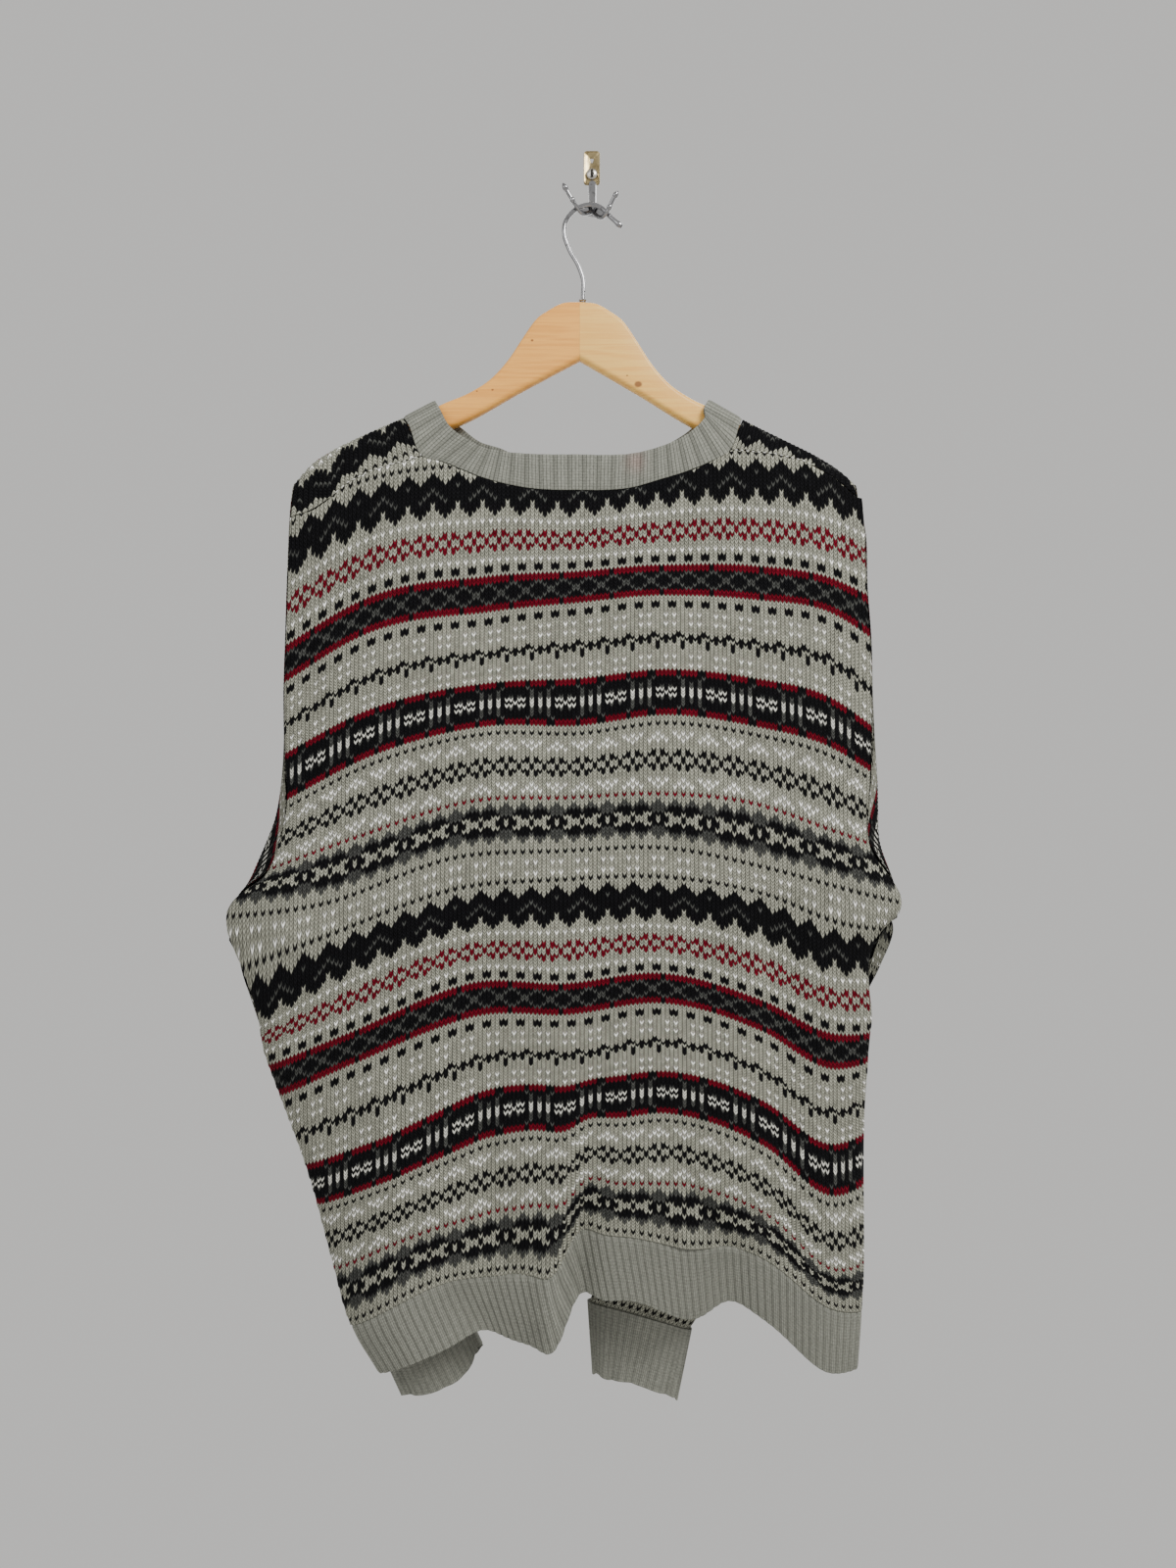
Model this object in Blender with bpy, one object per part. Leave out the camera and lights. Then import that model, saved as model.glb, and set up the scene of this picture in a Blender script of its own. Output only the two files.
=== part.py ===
"""A knitted cardigan, back outwards, on a wooden hanger that hangs from a small wall hook.

Everything is worked out in millimetres, in the object's own frame: X to the right, Z up, the wall
is the plane Y = 0 and the cardigan hangs on its -Y side. The origin is the middle of the hook
plate's back. The wearer's left side is at -X. Depths are distances from the wall, so Y = -depth.
"""

import math

import bpy
import numpy as np

MM = 0.001

# Cloth
CLOTH = 2.4
SEAM_GAP = 0.4
RIB_RAISE = 0.8
HEM_RIBS = 66
FRONT_HEM_RIBS = 31
NECK_RIBS = 46
CUFF_RIBS = 36
BAND_RIBS = 6

# Hanger: a bent board of two halves, hung a little askew, and its wire hook
HANGER_X = -9.5
HANGER_DEPTH = 31.0
HANGER_HALF_THICKNESS = 5.6
HANGER_TILT = 0.0244
JOINT_GAP = 0.3
CLOTH_FOLD_RADIUS = 9.3
WIRE_RADIUS = 1.7

# The board's upper and lower edges, and the cloth's fold above it, at these distances from its middle
BOARD_TOP = (
    # out, z
    (0, -120.0), (14, -121.5), (24, -127.0), (33, -133.5), (44, -149.0), (54, -164.5), (68, -180.5),
    (84, -191.5), (107, -202.0), (126, -212.8), (159, -228.4), (193, -246.8), (203, -255.0), (207.5, -262.0),
)
BOARD_BOTTOM = (
    # out, z
    (0, -165.0), (44, -189.5), (88, -215.0), (126, -231.0), (159, -245.5), (193, -261.5), (207.5, -268.0),
)
CLOTH_FOLD = (
    # out, z
    (84, -186.5), (107, -197.0), (126, -207.8), (159, -223.2), (193, -240.8), (206, -250.0), (214, -258.5),
    (221, -268.0),
)
BOARD_STATIONS = (0.15, 7, 14, 24, 33, 39, 44, 54, 68, 84, 107, 126, 145, 165, 183, 195, 203, 207.5)

# The body's cross sections follow the courses of the knitting, from the yoke to the hem.
# depth: the back panel's middle, edge: the side seam, turn: how far the panel's edge rounds
# towards the side (1 turns it fully), inset: how far the front's edge is in from the back's,
# then the side edges' x, and z at these fractions of the width.
STATIONS = (0.0, 0.15, 0.35, 0.5, 0.65, 0.8, 0.93, 1.0)
SECTION_COLUMNS = ("name", "depth", "edge", "turn", "inset", "x_left", "x_right", "z")
SECTIONS = (
    ("shoulder", 43, 37, 0.97, 8, -231, 203, None),
    ("yoke", 47, 36, 0.97, 8, -233, 209, (-340, -305, -292, -293, -286, -283, -290, -302)),
    ("first squares", 49, 36, 0.97, 8, -234, 210, (-380, -344, -329, -326, -321, -321, -329, -341)),
    ("second squares", 52, 36, 0.97, 8, -235, 213, (-422, -385, -369, -362, -356, -360, -370, -389)),
    ("medallions", 55, 36, 0.97, 8, -234, 213, (-472, -439, -419, -416, -409, -416, -431, -451)),
    ("black dots", 57, 36, 0.97, 8, -233, 212, (-510, -477, -454, -454, -446, -455, -471, -488)),
    ("red dots", 60, 36, 0.97, 8, -246, 211, (-557, -532, -504, -502, -499, -506, -526, -537)),
    ("underarm", 63, 36, 1.0, 0, -279, 235, (-608, -592, -556, -551, -549, -564, -584, -592)),
    ("zigzag", 64, 36, 1.0, 0, -269, 224, (-633, -604, -569, -563, -561, -573, -597, -603)),
    ("third squares", 67, 37, 1.0, 0, -250, 214, (-702, -672, -635, -635, -628, -646, -674, -677)),
    ("fourth squares", 68, 37, 1.0, 0, -237, 211, (-737, -704, -671, -669, -661, -680, -713, -711)),
    ("medallions 2", 69, 38, 1.0, 0, -219, 208, (-785, -758, -721, -716, -708, -728, -765, -762)),
    ("red dots 2", 68, 38, 1.0, 0, -198, 208, (-861, -829, -807, -791, -789, -810, -854, -857)),
    ("rib top", 66, 38, 1.0, 0, -187, 207, (-901, -866, -850, -825, -832, -842, -880, -890)),
    ("hem", 62, 37, 1.0, 0, -164, 204, (-942, -915, -907, -878, -894, -896, -933, -938)),
)
UNDERARM, RIB_TOP, HEM = 7, 13, 14
FRONT_DEPTH = 22.3
FRONT_ARMHOLE_DEPTH = 25.0

# The back's top edge: the shoulder seams, which lie in front of the hanger, and the neckline
SEAM_LEFT = ((-231, -288), (-212, -282), (-201, -274), (-187, -262), (-169, -253), (-152, -248), (-130, -242))
BACK_NECKLINE = ((-130, -242), (-115, -246), (-85, -258), (-48, -266.5), (-10, -268), (28, -266.5), (58, -258), (87, -248), (106, -237))
SEAM_RIGHT = ((106, -237), (139, -240), (161, -245), (184, -257), (203, -273))
# The shoulder seams' points and those between them, as fractions of the back's width
LEFT_SEAM_F = (0, 0.008, 0.03, 0.07, 0.12, 0.175, 0.2327)
NECK_F = (0.27, 0.305, 0.34, 0.375, 0.40, 0.43, 0.465, 0.51, 0.555, 0.60, 0.65, 0.70, 0.74)
RIGHT_SEAM_F = (0.7765, 0.825, 0.88, 0.93, 0.97, 0.992, 1)
BACK_COLUMNS = LEFT_SEAM_F + NECK_F + RIGHT_SEAM_F

# Folds of the back: each runs from one section and fraction of the width to another.
# raise_mm lifts the cloth along the fold, step_mm lifts its left side and sinks its right one,
# and drop_mm does the same to the courses' height.
FOLD_COLUMNS = ("name", "from_row", "from_f", "to_row", "to_f", "half_width", "raise_mm", "step_mm", "drop_mm")
BACK_FOLDS = (
    ("middle pleat", 10.6, 0.50, 14, 0.395, 0.030, 0, 10, 9),
    ("left long fold", 7.2, 0.39, 14, 0.26, 0.034, -6, 0, 0),
    ("left scallop", 12.4, 0.20, 14, 0.22, 0.030, -6, 0, 0),
    ("right crease", 7.0, 0.845, 13.2, 0.855, 0.024, -7, 0, 0),
    ("right hem recess", 12.6, 0.76, 14, 0.725, 0.034, -9, 0, 0),
    ("right hem crest", 11.0, 0.93, 14, 0.90, 0.050, 8, 0, 0),
    ("left hem crest", 11.0, 0.10, 14, 0.09, 0.050, 5, 0, 0),
)
FRONT_FOLDS = (
    ("left soft fold", 7.5, 0.20, 14, 0.24, 0.035, -4, 0, 0),
    ("right soft fold", 7.5, 0.78, 14, 0.74, 0.035, -4, 0, 0),
)
# Hem points that stand above the smooth line: place, half width, rise
HEM_RISES = ((0.22, 0.035, 7), (0.415, 0.030, 6), (0.725, 0.040, 11))

# The fronts: columns from the side to the front edge, by x at the yoke; the neckline of each
FRONT_EDGE_LEFT, FRONT_EDGE_RIGHT = -25.4, 5.4
LEFT_FRONT_COLUMNS = (-225, -222.5, -216, -201, -181, -161, -142, -125, -104, -78, -50, FRONT_EDGE_LEFT)
RIGHT_FRONT_COLUMNS = (201, 198.5, 192, 178, 156, 134, 112, 98, 80, 55, 28, FRONT_EDGE_RIGHT)
NECK_COLUMN = 6
# Over the hanger, the neckband's sewn and free edges cross at these x
NECK_OVER_LEFT, NECK_OVER_RIGHT = (-146, -121), (116, 90)
# The sewn and the free edge of the neckband on each front, and along the back: x and z of each
LEFT_NECKLINE = (
    # sewn x, sewn z, free x, free z
    (-125, -234, -102, -214.5), (-104, -251, -88, -225), (-78, -267, -69, -231.5), (-50, -279, -47, -244),
    (FRONT_EDGE_LEFT, -283, FRONT_EDGE_LEFT, -254.5),
)
RIGHT_NECKLINE = (
    # sewn x, sewn z, free x, free z
    (98, -240, 77, -215.5), (80, -255, 63, -225), (55, -270, 46, -232), (28, -280, 26, -245),
    (FRONT_EDGE_RIGHT, -283, FRONT_EDGE_RIGHT, -254.5),
)
BACK_NECK_FREE = (
    # sewn x, free x, free z
    (-130, -107, -220.5), (-115, -94, -229.5), (-85, -77, -236.5), (-48, -48, -240), (-10, -10, -240.5),
    (28, 29, -240), (58, 56, -233), (87, 76, -222.5), (106, 86, -212),
)

# Sleeves: each leaves its armhole, folds back at the silhouette and hangs behind the body.
# silhouette: x of the fold at each z; then rings on the wall side, from the fold to the cuff
LEFT_SILHOUETTE = ((-283, -236), (-356, -237.5), (-447, -239.5), (-522, -249), (-545, -258), (-583, -276), (-604, -287))
RIGHT_SILHOUETTE = ((-275, 210), (-356, 215), (-416, 218.5), (-492, 223.5), (-552, 229), (-571, 238), (-588, 244))
SLEEVE_COLUMNS = ("name", "under_x", "under_z", "middle_x", "middle_z", "top_x", "top_z")
LEFT_SLEEVE = (
    ("upper arm", -279, -624, -221, -492, -200, -345),
    ("arm 2", -276, -642, -219, -540, -178, -430),
    ("arm 3", -268, -666, -210, -598, -158, -520),
    ("arm 4", -256, -702, -200, -655, -146, -600),
    ("arm 5", -238, -755, -187, -721, -138, -680),
    ("arm 6", -218, -810, -173, -788, -130, -760),
    ("arm 7", -197, -865, -158, -850, -121, -830),
    ("wrist", -173, -920.6, -141, -905, -112, -883.6),
)
RIGHT_SLEEVE = (
    ("upper arm", 238, -608, 196, -480, 180, -350),
    ("arm 2", 228, -635, 190, -535, 150, -430),
    ("arm 3", 213, -665, 169, -595, 122, -520),
    ("arm 4", 195, -705, 148, -655, 98, -600),
    ("arm 5", 169, -760, 124, -722, 76, -680),
    ("arm 6", 141, -815, 98, -790, 54, -760),
    ("arm 7", 112, -868, 72, -852, 31, -830),
    ("wrist", 77, -922.6, 38, -910, -2, -900.6),
)
# Cuffs: outer, middle and inner points of the lower edge, in x and z
LEFT_CUFF_HEM = ("cuff hem", -149, -973, -113, -963, -88, -936)
RIGHT_CUFF_HEM = ("cuff hem", 66, -977, 28, -960, 2, -958)
SLEEVE_DEPTH = 10.9
SLEEVE_HALF = 6.4
FOLD_AXIS_DEPTH = 20.6
FOLD_INNER_RADIUS = 3.6
# Where the points of a sleeve ring lie between underarm (0) and top (1)
RING_STEPS = (0.05, 0.12, 0.20, 0.30, 0.43, 0.57, 0.70, 0.82, 0.93)
RING_ROWS = (6.5, 6, 5.5, 5, 4, 3, 2, 1, 0)

# Button bands and buttons
BAND_MIDDLE = -10.0
BAND_WIDTH = 30.0
BAND_TOP = -254.5
LEFT_BAND_DEPTH, RIGHT_BAND_DEPTH = 19.2, 22.4
BUTTONS = 6
BUTTON_RADIUS = 7.5
BUTTON_THICKNESS = 2.6
FIRST_BUTTON_Z, LAST_BUTTON_Z = -268.0, -862.0

# Wall hook: a screwed plate, a shank that comes down and forward, and two upturned prongs
PLATE_WIDTH, PLATE_HEIGHT, PLATE_THICKNESS = 13.0, 26.6, 1.6
PLATE_HOLE_Z, PLATE_HOLE_RADIUS = 6.1, 1.7
SCREW_Z, SCREW_HEAD_RADIUS, SCREW_HEAD_HEIGHT = -5.4, 4.3, 2.5
SLOT_WIDTH, SLOT_DEPTH = 1.2, 1.1
SHANK_RADIUS, PRONG_RADIUS, PRONG_BALL = 3.3, 1.6, 2.2
SHANK_PATH = ((0.3, 4.4, -10.6), (0.3, 6.5, -18), (0.4, 12, -28), (0.5, 19, -38), (0.5, 24.2, -45))
LEFT_PRONG = ((0, 23.5, -45.5), (-4, 27.5, -49), (-8, 31.3, -50.5), (-12, 35.6, -47.3), (-16, 38.4, -41), (-20, 40.5, -34.5))
RIGHT_PRONG = ((1, 23.5, -46), (4.5, 27.5, -51.5), (8, 31.4, -53.8), (11.6, 35.7, -51.6), (15.2, 38.4, -45.5), (19, 40.7, -40.5))
WIRE_PATH = (
    # x, z
    (-7.2, -119.5), (-7.2, -101), (-10.5, -91.5), (-17.8, -78.3), (-21.6, -65.4), (-20.6, -57.5),
    (-16.4, -51), (-11, -46.6), (-5, -44.4), (0, -43.9), (5, -45.2), (9.5, -48.4), (13.2, -52.4),
    (18, -56.8), (23.3, -61.5),
)

COLOURS = {
    # name: colour, roughness, metallic
    "knit": ((0.30, 0.29, 0.27, 1), 0.95, 0.0),
    "rib": ((0.27, 0.27, 0.24, 1), 0.95, 0.0),
    "button": ((0.05, 0.045, 0.04, 1), 0.35, 0.0),
    "wood": ((0.72, 0.42, 0.17, 1), 0.4, 0.0),
    "chrome": ((0.75, 0.75, 0.75, 1), 0.15, 1.0),
    "screw": ((0.70, 0.68, 0.62, 1), 0.3, 1.0),
}


def smooth(table, x, column=1):
    """A smooth curve through the table's rows, read at x."""
    rows = sorted(table)
    xs = np.array([row[0] for row in rows], float)
    ys = np.array([row[column] for row in rows], float)
    slopes = np.gradient(ys, xs)
    x = np.clip(np.asarray(x, float), xs[0], xs[-1])
    i = np.clip(np.searchsorted(xs, x, side="right") - 1, 0, len(xs) - 2)
    span = xs[i + 1] - xs[i]
    t = (x - xs[i]) / span
    return (
        (2 * t**3 - 3 * t**2 + 1) * ys[i]
        + (t**3 - 2 * t**2 + t) * span * slopes[i]
        + (3 * t**2 - 2 * t**3) * ys[i + 1]
        + (t**3 - t**2) * span * slopes[i + 1]
    )


def broken(table, x):
    """Straight lines through the table's rows, read at x."""
    rows = sorted(table)
    return np.interp(x, [row[0] for row in rows], [row[1] for row in rows])


def material(name):
    found = bpy.data.materials.get(name)
    if found:
        return found
    colour, roughness, metallic = COLOURS[name]
    made = bpy.data.materials.new(name)
    made.use_nodes = True
    made.diffuse_color = colour
    shader = made.node_tree.nodes["Principled BSDF"]
    shader.inputs["Base Color"].default_value = colour
    shader.inputs["Roughness"].default_value = roughness
    shader.inputs["Metallic"].default_value = metallic
    return made


def add_object(name, points, faces, finish, smooth_angle=40):
    """A mesh object from points in millimetres."""
    mesh = bpy.data.meshes.new(name)
    mesh.from_pydata([tuple(p) for p in np.asarray(points) * MM], [], [tuple(f) for f in faces])
    mesh.materials.append(material(finish))
    mesh.shade_smooth()
    mesh.set_sharp_from_angle(angle=math.radians(smooth_angle))
    made = bpy.data.objects.new(name, mesh)
    bpy.context.scene.collection.objects.link(made)
    return made


def grid_faces(rows, columns, closed=False, flip=False, keep=None):
    """Quads over a grid of points; keep(row, column) leaves some out."""
    faces = []
    for r in range(rows - 1):
        for c in range(columns if closed else columns - 1):
            if keep and not keep(r, c):
                continue
            d = (c + 1) % columns
            quad = (r * columns + c, (r + 1) * columns + c, (r + 1) * columns + d, r * columns + d)
            faces.append(quad[::-1] if flip else quad)
    return faces


def point_normals(points, faces):
    normals = np.zeros_like(points)
    for a, b, c, d in faces:
        normal = np.cross(points[c] - points[a], points[d] - points[b])
        for corner in (a, b, c, d):
            normals[corner] += normal
    length = np.linalg.norm(normals, axis=1)
    normals[length == 0] = (0, 0, 1)
    return normals / np.where(length > 0, length, 1)[:, None]


def cloth_wall(points, faces, raised=None, square=(), given=()):
    """Closes an outer face of cloth into a wall: plain inside, raised outwards where raised is not 0.

    square lists (points, direction): there the wall's edge is cut at a right angle to direction.
    given lists (points, normals) where the wall matches the edge that it is sewn to.
    """
    points = np.asarray(points, float)
    normals = point_normals(points, faces)
    for chosen, wanted in given:
        normals[chosen] = wanted
    for chosen, direction in square:
        along = np.array(direction, float) / np.linalg.norm(direction)
        normals[chosen] -= np.outer(normals[chosen] @ along, along)
        normals[chosen] /= np.linalg.norm(normals[chosen], axis=1)[:, None]
    inner = points - normals * CLOTH
    outer = points if raised is None else points + normals * np.asarray(raised)[:, None]
    count = len(points)
    edges = {(a, b) for face in faces for a, b in zip(face, face[1:] + face[:1])}
    rim = [(b, a, a + count, b + count) for a, b in sorted(edges) if (b, a) not in edges]
    inside = [tuple(i + count for i in face[::-1]) for face in faces]
    return drop_unused(np.concatenate([outer, inner]), list(faces) + inside + rim)


def drop_unused(points, faces):
    used = sorted({i for face in faces for i in face})
    place = {old: new for new, old in enumerate(used)}
    return points[used], [tuple(place[i] for i in face) for face in faces]


def board_z(out, table):
    """Height of the board's edge at this signed distance out from its middle."""
    return smooth(table, np.abs(out)) - HANGER_TILT * out


def cloth_top(x):
    """Height of the cloth's fold over the hanger."""
    return board_z(np.asarray(x) - HANGER_X, CLOTH_FOLD)


def over_board(x_near, x_top, x_far, start=90):
    """Five points of cloth bent over the hanger's upper edge, from its near side to the wall side."""
    radius = CLOTH_FOLD_RADIUS
    points = []
    for turn in (start, start / 2, 0, -45, -90):
        angle = math.radians(turn)
        side = x_near if turn > 0 else x_far
        x = x_top + (side - x_top) * (1 - math.cos(angle))
        z = float(cloth_top(x)) - radius * (1 - math.cos(angle))
        points.append((x, -(HANGER_DEPTH + radius * math.sin(angle)), z))
    return points


def section_value(column, row):
    """A section's value at a row that may lie between two sections."""
    place = SECTION_COLUMNS.index(column)
    return smooth([(i, section[place]) for i, section in enumerate(SECTIONS)], row)


def top_edge(x):
    """Height of the back's upper edge."""
    x = np.asarray(x, float)
    left = broken(SEAM_LEFT, x)
    right = broken(SEAM_RIGHT, x)
    neck = smooth(BACK_NECKLINE, x)
    return np.where(x < BACK_NECKLINE[0][0], left, np.where(x > BACK_NECKLINE[-1][0], right, neck))


def course_z(f, row):
    """Height of the knitted course of this row at the fraction f of the width."""
    f = np.asarray(f, float)
    x = section_value("x_left", row) + (section_value("x_right", row) - section_value("x_left", row)) * f
    heights = [top_edge(x)]
    for section in SECTIONS[1:]:
        heights.append(smooth(list(zip(STATIONS, section[-1])), f))
    heights = np.array(heights)
    shape = heights.shape[1:]
    flat = heights.reshape(len(SECTIONS), -1)
    read = [smooth([(i, z) for i, z in enumerate(column)], row) for column in flat.T]
    return np.array(read).reshape(shape)


def side_profile(f, turn):
    """0 at the side seam to 1 across the middle: how far the panel stands from the side seam."""
    u = np.abs(2 * np.asarray(f, float) - 1) * turn
    return np.sqrt(np.clip(1 - u**5, 0, 1))


def fold_shift(folds, f, row):
    """(lift towards the viewer, drop) that the folds give at f and row."""
    lift = np.zeros_like(np.asarray(f, float))
    drop = np.zeros_like(lift)
    for _, from_row, from_f, to_row, to_f, half_width, raise_mm, step_mm, drop_mm in folds:
        along = (row - from_row) / (to_row - from_row)
        if along <= 0:
            continue
        strength = math.sin(min(along, 1) * math.pi / 2) if to_row >= HEM else math.sin(min(along, 1) * math.pi)
        across = (f - (from_f + (to_f - from_f) * along)) / half_width
        bell = np.exp(-0.5 * across**2)
        lift += strength * (raise_mm * bell - step_mm * across * bell * 1.65)
        drop += strength * drop_mm * -across * bell * 1.65
    return lift, drop


def hem_rise(f, row):
    weight = max(0.0, row - RIB_TOP)
    return weight * sum(rise * np.exp(-0.5 * ((f - place) / half) ** 2) for place, half, rise in HEM_RISES)


def back_points(f, row):
    """Outer points of the back at the fractions f of its width, on one row."""
    f = np.asarray(f, float)
    left, right = section_value("x_left", row), section_value("x_right", row)
    edge, depth = section_value("edge", row), section_value("depth", row)
    turn = min(1.0, float(section_value("turn", row)))
    lift, drop = fold_shift(BACK_FOLDS, f, row)
    fade = side_profile(f, 1.0)
    x = left + (right - left) * f
    seam = SEAM_GAP / 2 if row >= UNDERARM else 0
    y = -(edge + seam + (depth - edge) * side_profile(f, turn) + lift * fade)
    z = course_z(f, row) - drop * fade + hem_rise(f, row)
    return np.stack([x, y, z], axis=-1)


def front_points(x_of_columns, row, is_left):
    """Outer points of a front, from its side to its front edge, on one row."""
    columns = np.array(x_of_columns, float)
    inset = max(0.0, float(section_value("inset", row)))
    share = (columns - columns[0]) / (columns[-1] - columns[0])
    left, right = section_value("x_left", row), section_value("x_right", row)
    side = left + inset if is_left else right - inset
    x = side + (columns[-1] - side) * share
    f = (x - left) / (right - left)
    armhole = min(1.0, inset / 8)
    edge = section_value("edge", row) - SEAM_GAP / 2
    edge = edge + (FRONT_ARMHOLE_DEPTH - edge) * armhole
    across = (x - side) / (0.5 * (right - left)) * (1 if is_left else -1)
    bulge = side_profile((1 - (1 - np.clip(across, 0, 1))) / 2, 1.0)
    lift, _ = fold_shift(FRONT_FOLDS, f, row)
    y = -(edge + (FRONT_DEPTH - edge) * bulge) - lift * -bulge
    z = course_z(f, row)
    if row > RIB_TOP - 3:
        z = z + (row - (RIB_TOP - 3)) * 1.5 * bulge
    return np.stack([x, y, z], axis=-1)


def rows_between(first, last, per_section):
    count = int(round((last - first) * per_section))
    return [first + (last - first) * i / count for i in range(count + 1)]


def index_of(rows, columns, chosen_rows, chosen_columns):
    """Numbers of the points in these rows and columns of a grid."""
    return np.arange(rows * columns).reshape(rows, columns)[chosen_rows, chosen_columns].reshape(-1)


def body_rows():
    return rows_between(0, RIB_TOP, 2)


def back_grid():
    return np.array([back_points(BACK_COLUMNS, row) for row in body_rows()])


def make_back(grid):
    rows, columns = grid.shape[:2]
    armhole = slice(0, 2 * UNDERARM)
    side = slice(2 * UNDERARM, rows)
    square = [
        (index_of(rows, columns, armhole, [0, -1]), (1, 0, 0)),
        (index_of(rows, columns, side, [0, -1]), (0, 1, 0)),
        (index_of(rows, columns, [0, -1], slice(0, columns)), (0, 0, 1)),
    ]
    faces = grid_faces(rows, columns)
    add_object("back", *cloth_wall(grid.reshape(-1, 3), faces, square=square), "knit")


def front_wrap(columns, back, is_left):
    """Rows of a front from the shoulder seam over the hanger, for the columns that reach it."""
    seam_points = back[0][: NECK_COLUMN + 1] if is_left else back[0][::-1][: NECK_COLUMN + 1]
    strips = []
    for c in range(NECK_COLUMN + 1):
        seam = seam_points[c] + (0, 0, 1.1 * SEAM_GAP)
        x = columns[c]
        top_x = (x + seam[0]) / 2
        if c == NECK_COLUMN:
            top_x = (NECK_OVER_LEFT if is_left else NECK_OVER_RIGHT)[0]
        near_x, far_x = top_x + (seam[0] - top_x) * 0.3, top_x + (x - top_x) * 0.3
        above = float(cloth_top(top_x)) - seam[2]
        start = 90 if above > CLOTH_FOLD_RADIUS + 2 else math.degrees(math.acos(1 - (above - 1.8) / CLOTH_FOLD_RADIUS))
        strips.append([tuple(seam)] + over_board(near_x, top_x, far_x, start))
    return [[strip[row] for strip in strips] for row in range(len(strips[0]))]


def front_grid(columns, neckline, back, is_left):
    """The front's points: first the rows over the hanger, which end at the neck, then the full rows."""
    wrap = front_wrap(columns, back, is_left)
    first_full = len(wrap) - 1
    grid = [list(row) + [(0, 0, 0)] * (len(columns) - len(row)) for row in wrap]
    for c, (x, z, _, _) in enumerate(neckline, NECK_COLUMN + 1):
        grid[first_full][c] = (x, -FRONT_DEPTH, z)
    for row in rows_between(1, RIB_TOP, 2):
        points = front_points(columns, row, is_left)
        if row == 1:
            top = np.array([p[2] for p in grid[first_full]])
            points[:, 2] = np.minimum(points[:, 2], top - 9)
        grid.append([tuple(p) for p in points])
    return np.array(grid), first_full


def make_front(name, grid, first_full, is_left):
    rows, columns = grid.shape[:2]
    under = first_full + 1 + 2 * (UNDERARM - 1)
    neck = slice(NECK_COLUMN, columns)
    square = [
        (index_of(rows, columns, slice(0, under), 0), (1, 0, 0)),
        (index_of(rows, columns, slice(under, rows), 0), (0, 1, 0)),
        (index_of(rows, columns, slice(0, first_full), NECK_COLUMN), (1, 0, 0)),
        (index_of(rows, columns, first_full, neck), (0, 0, 1)),
        (index_of(rows, columns, rows - 1, slice(0, columns)), (0, 0, 1)),
        (index_of(rows, columns, 0, slice(0, NECK_COLUMN + 1)), (0, 0, 1)),
    ]

    def keep(row, column):
        return row >= first_full or column < NECK_COLUMN

    faces = grid_faces(rows, columns, flip=is_left, keep=keep)
    add_object(name, *cloth_wall(grid.reshape(-1, 3), faces, square=square), "knit")


def along_row(row, places, where):
    """Points on the straight lines through a row of points."""
    return np.stack([np.interp(where, places, row[:, axis]) for axis in range(3)], axis=-1)


def ribbed_strip(name, grid, flip, closed=False, square=((0, 0, 1),), sides=(), given=None):
    """A strip of ribbing from rows of points, the first of which is sewn on, with every second column raised.

    sides are the columns at the side seams; given are the normals of the edge that it is sewn to.
    """
    grid = np.asarray(grid)
    rows, columns = grid.shape[:2]
    raised = np.zeros((rows, columns))
    raised[:, 1::2] = RIB_RAISE
    faces = grid_faces(rows, columns, closed=closed, flip=flip)
    cuts = [(np.arange(columns), direction) for direction in square]
    cuts += [(index_of(rows, columns, slice(0, rows), column), (0, 1, 0)) for column in sides]
    known = [] if given is None else [(np.arange(columns), given)]
    wall = cloth_wall(grid.reshape(-1, 3), faces, raised.reshape(-1), cuts, known)
    add_object(name, *wall, "rib", 80)


def last_row_normals(grid, flip):
    """Level normals along the last row of a grid of points."""
    rows, columns = grid.shape[:2]
    normals = point_normals(grid[-2:].reshape(-1, 3), grid_faces(2, columns, flip=flip))[columns:]
    normals[:, 2] = 0
    return normals / np.linalg.norm(normals, axis=1)[:, None]


def make_back_hem(back):
    f = np.linspace(0, 1, 2 * HEM_RIBS + 1)
    f = f + 0.006 * np.sin(2 * math.pi * f)
    sewn = along_row(back[-1], BACK_COLUMNS, f) - (0, 0, 2.2 * SEAM_GAP)
    lower = [back_points(f, row) for row in (RIB_TOP + 0.5, HEM)]
    given = along_row(last_row_normals(back, False), BACK_COLUMNS, f)
    ribbed_strip("back_hem_rib", [sewn] + lower, flip=False, sides=(0, -1), given=given)


def make_front_hem(name, columns, grid, is_left):
    x = np.linspace(columns[0], columns[-1], 2 * FRONT_HEM_RIBS + 1)
    order = 1 if is_left else -1
    sewn = along_row(grid[-1][::order], columns[::order], x) - (0, 0, 2.2 * SEAM_GAP)
    lower = [front_points(x, row, is_left) for row in (RIB_TOP + 0.5, HEM)]
    given = along_row(last_row_normals(grid, is_left)[::order], columns[::order], x)
    ribbed_strip(name, [sewn] + lower, flip=is_left, sides=(0,), given=given)


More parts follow.
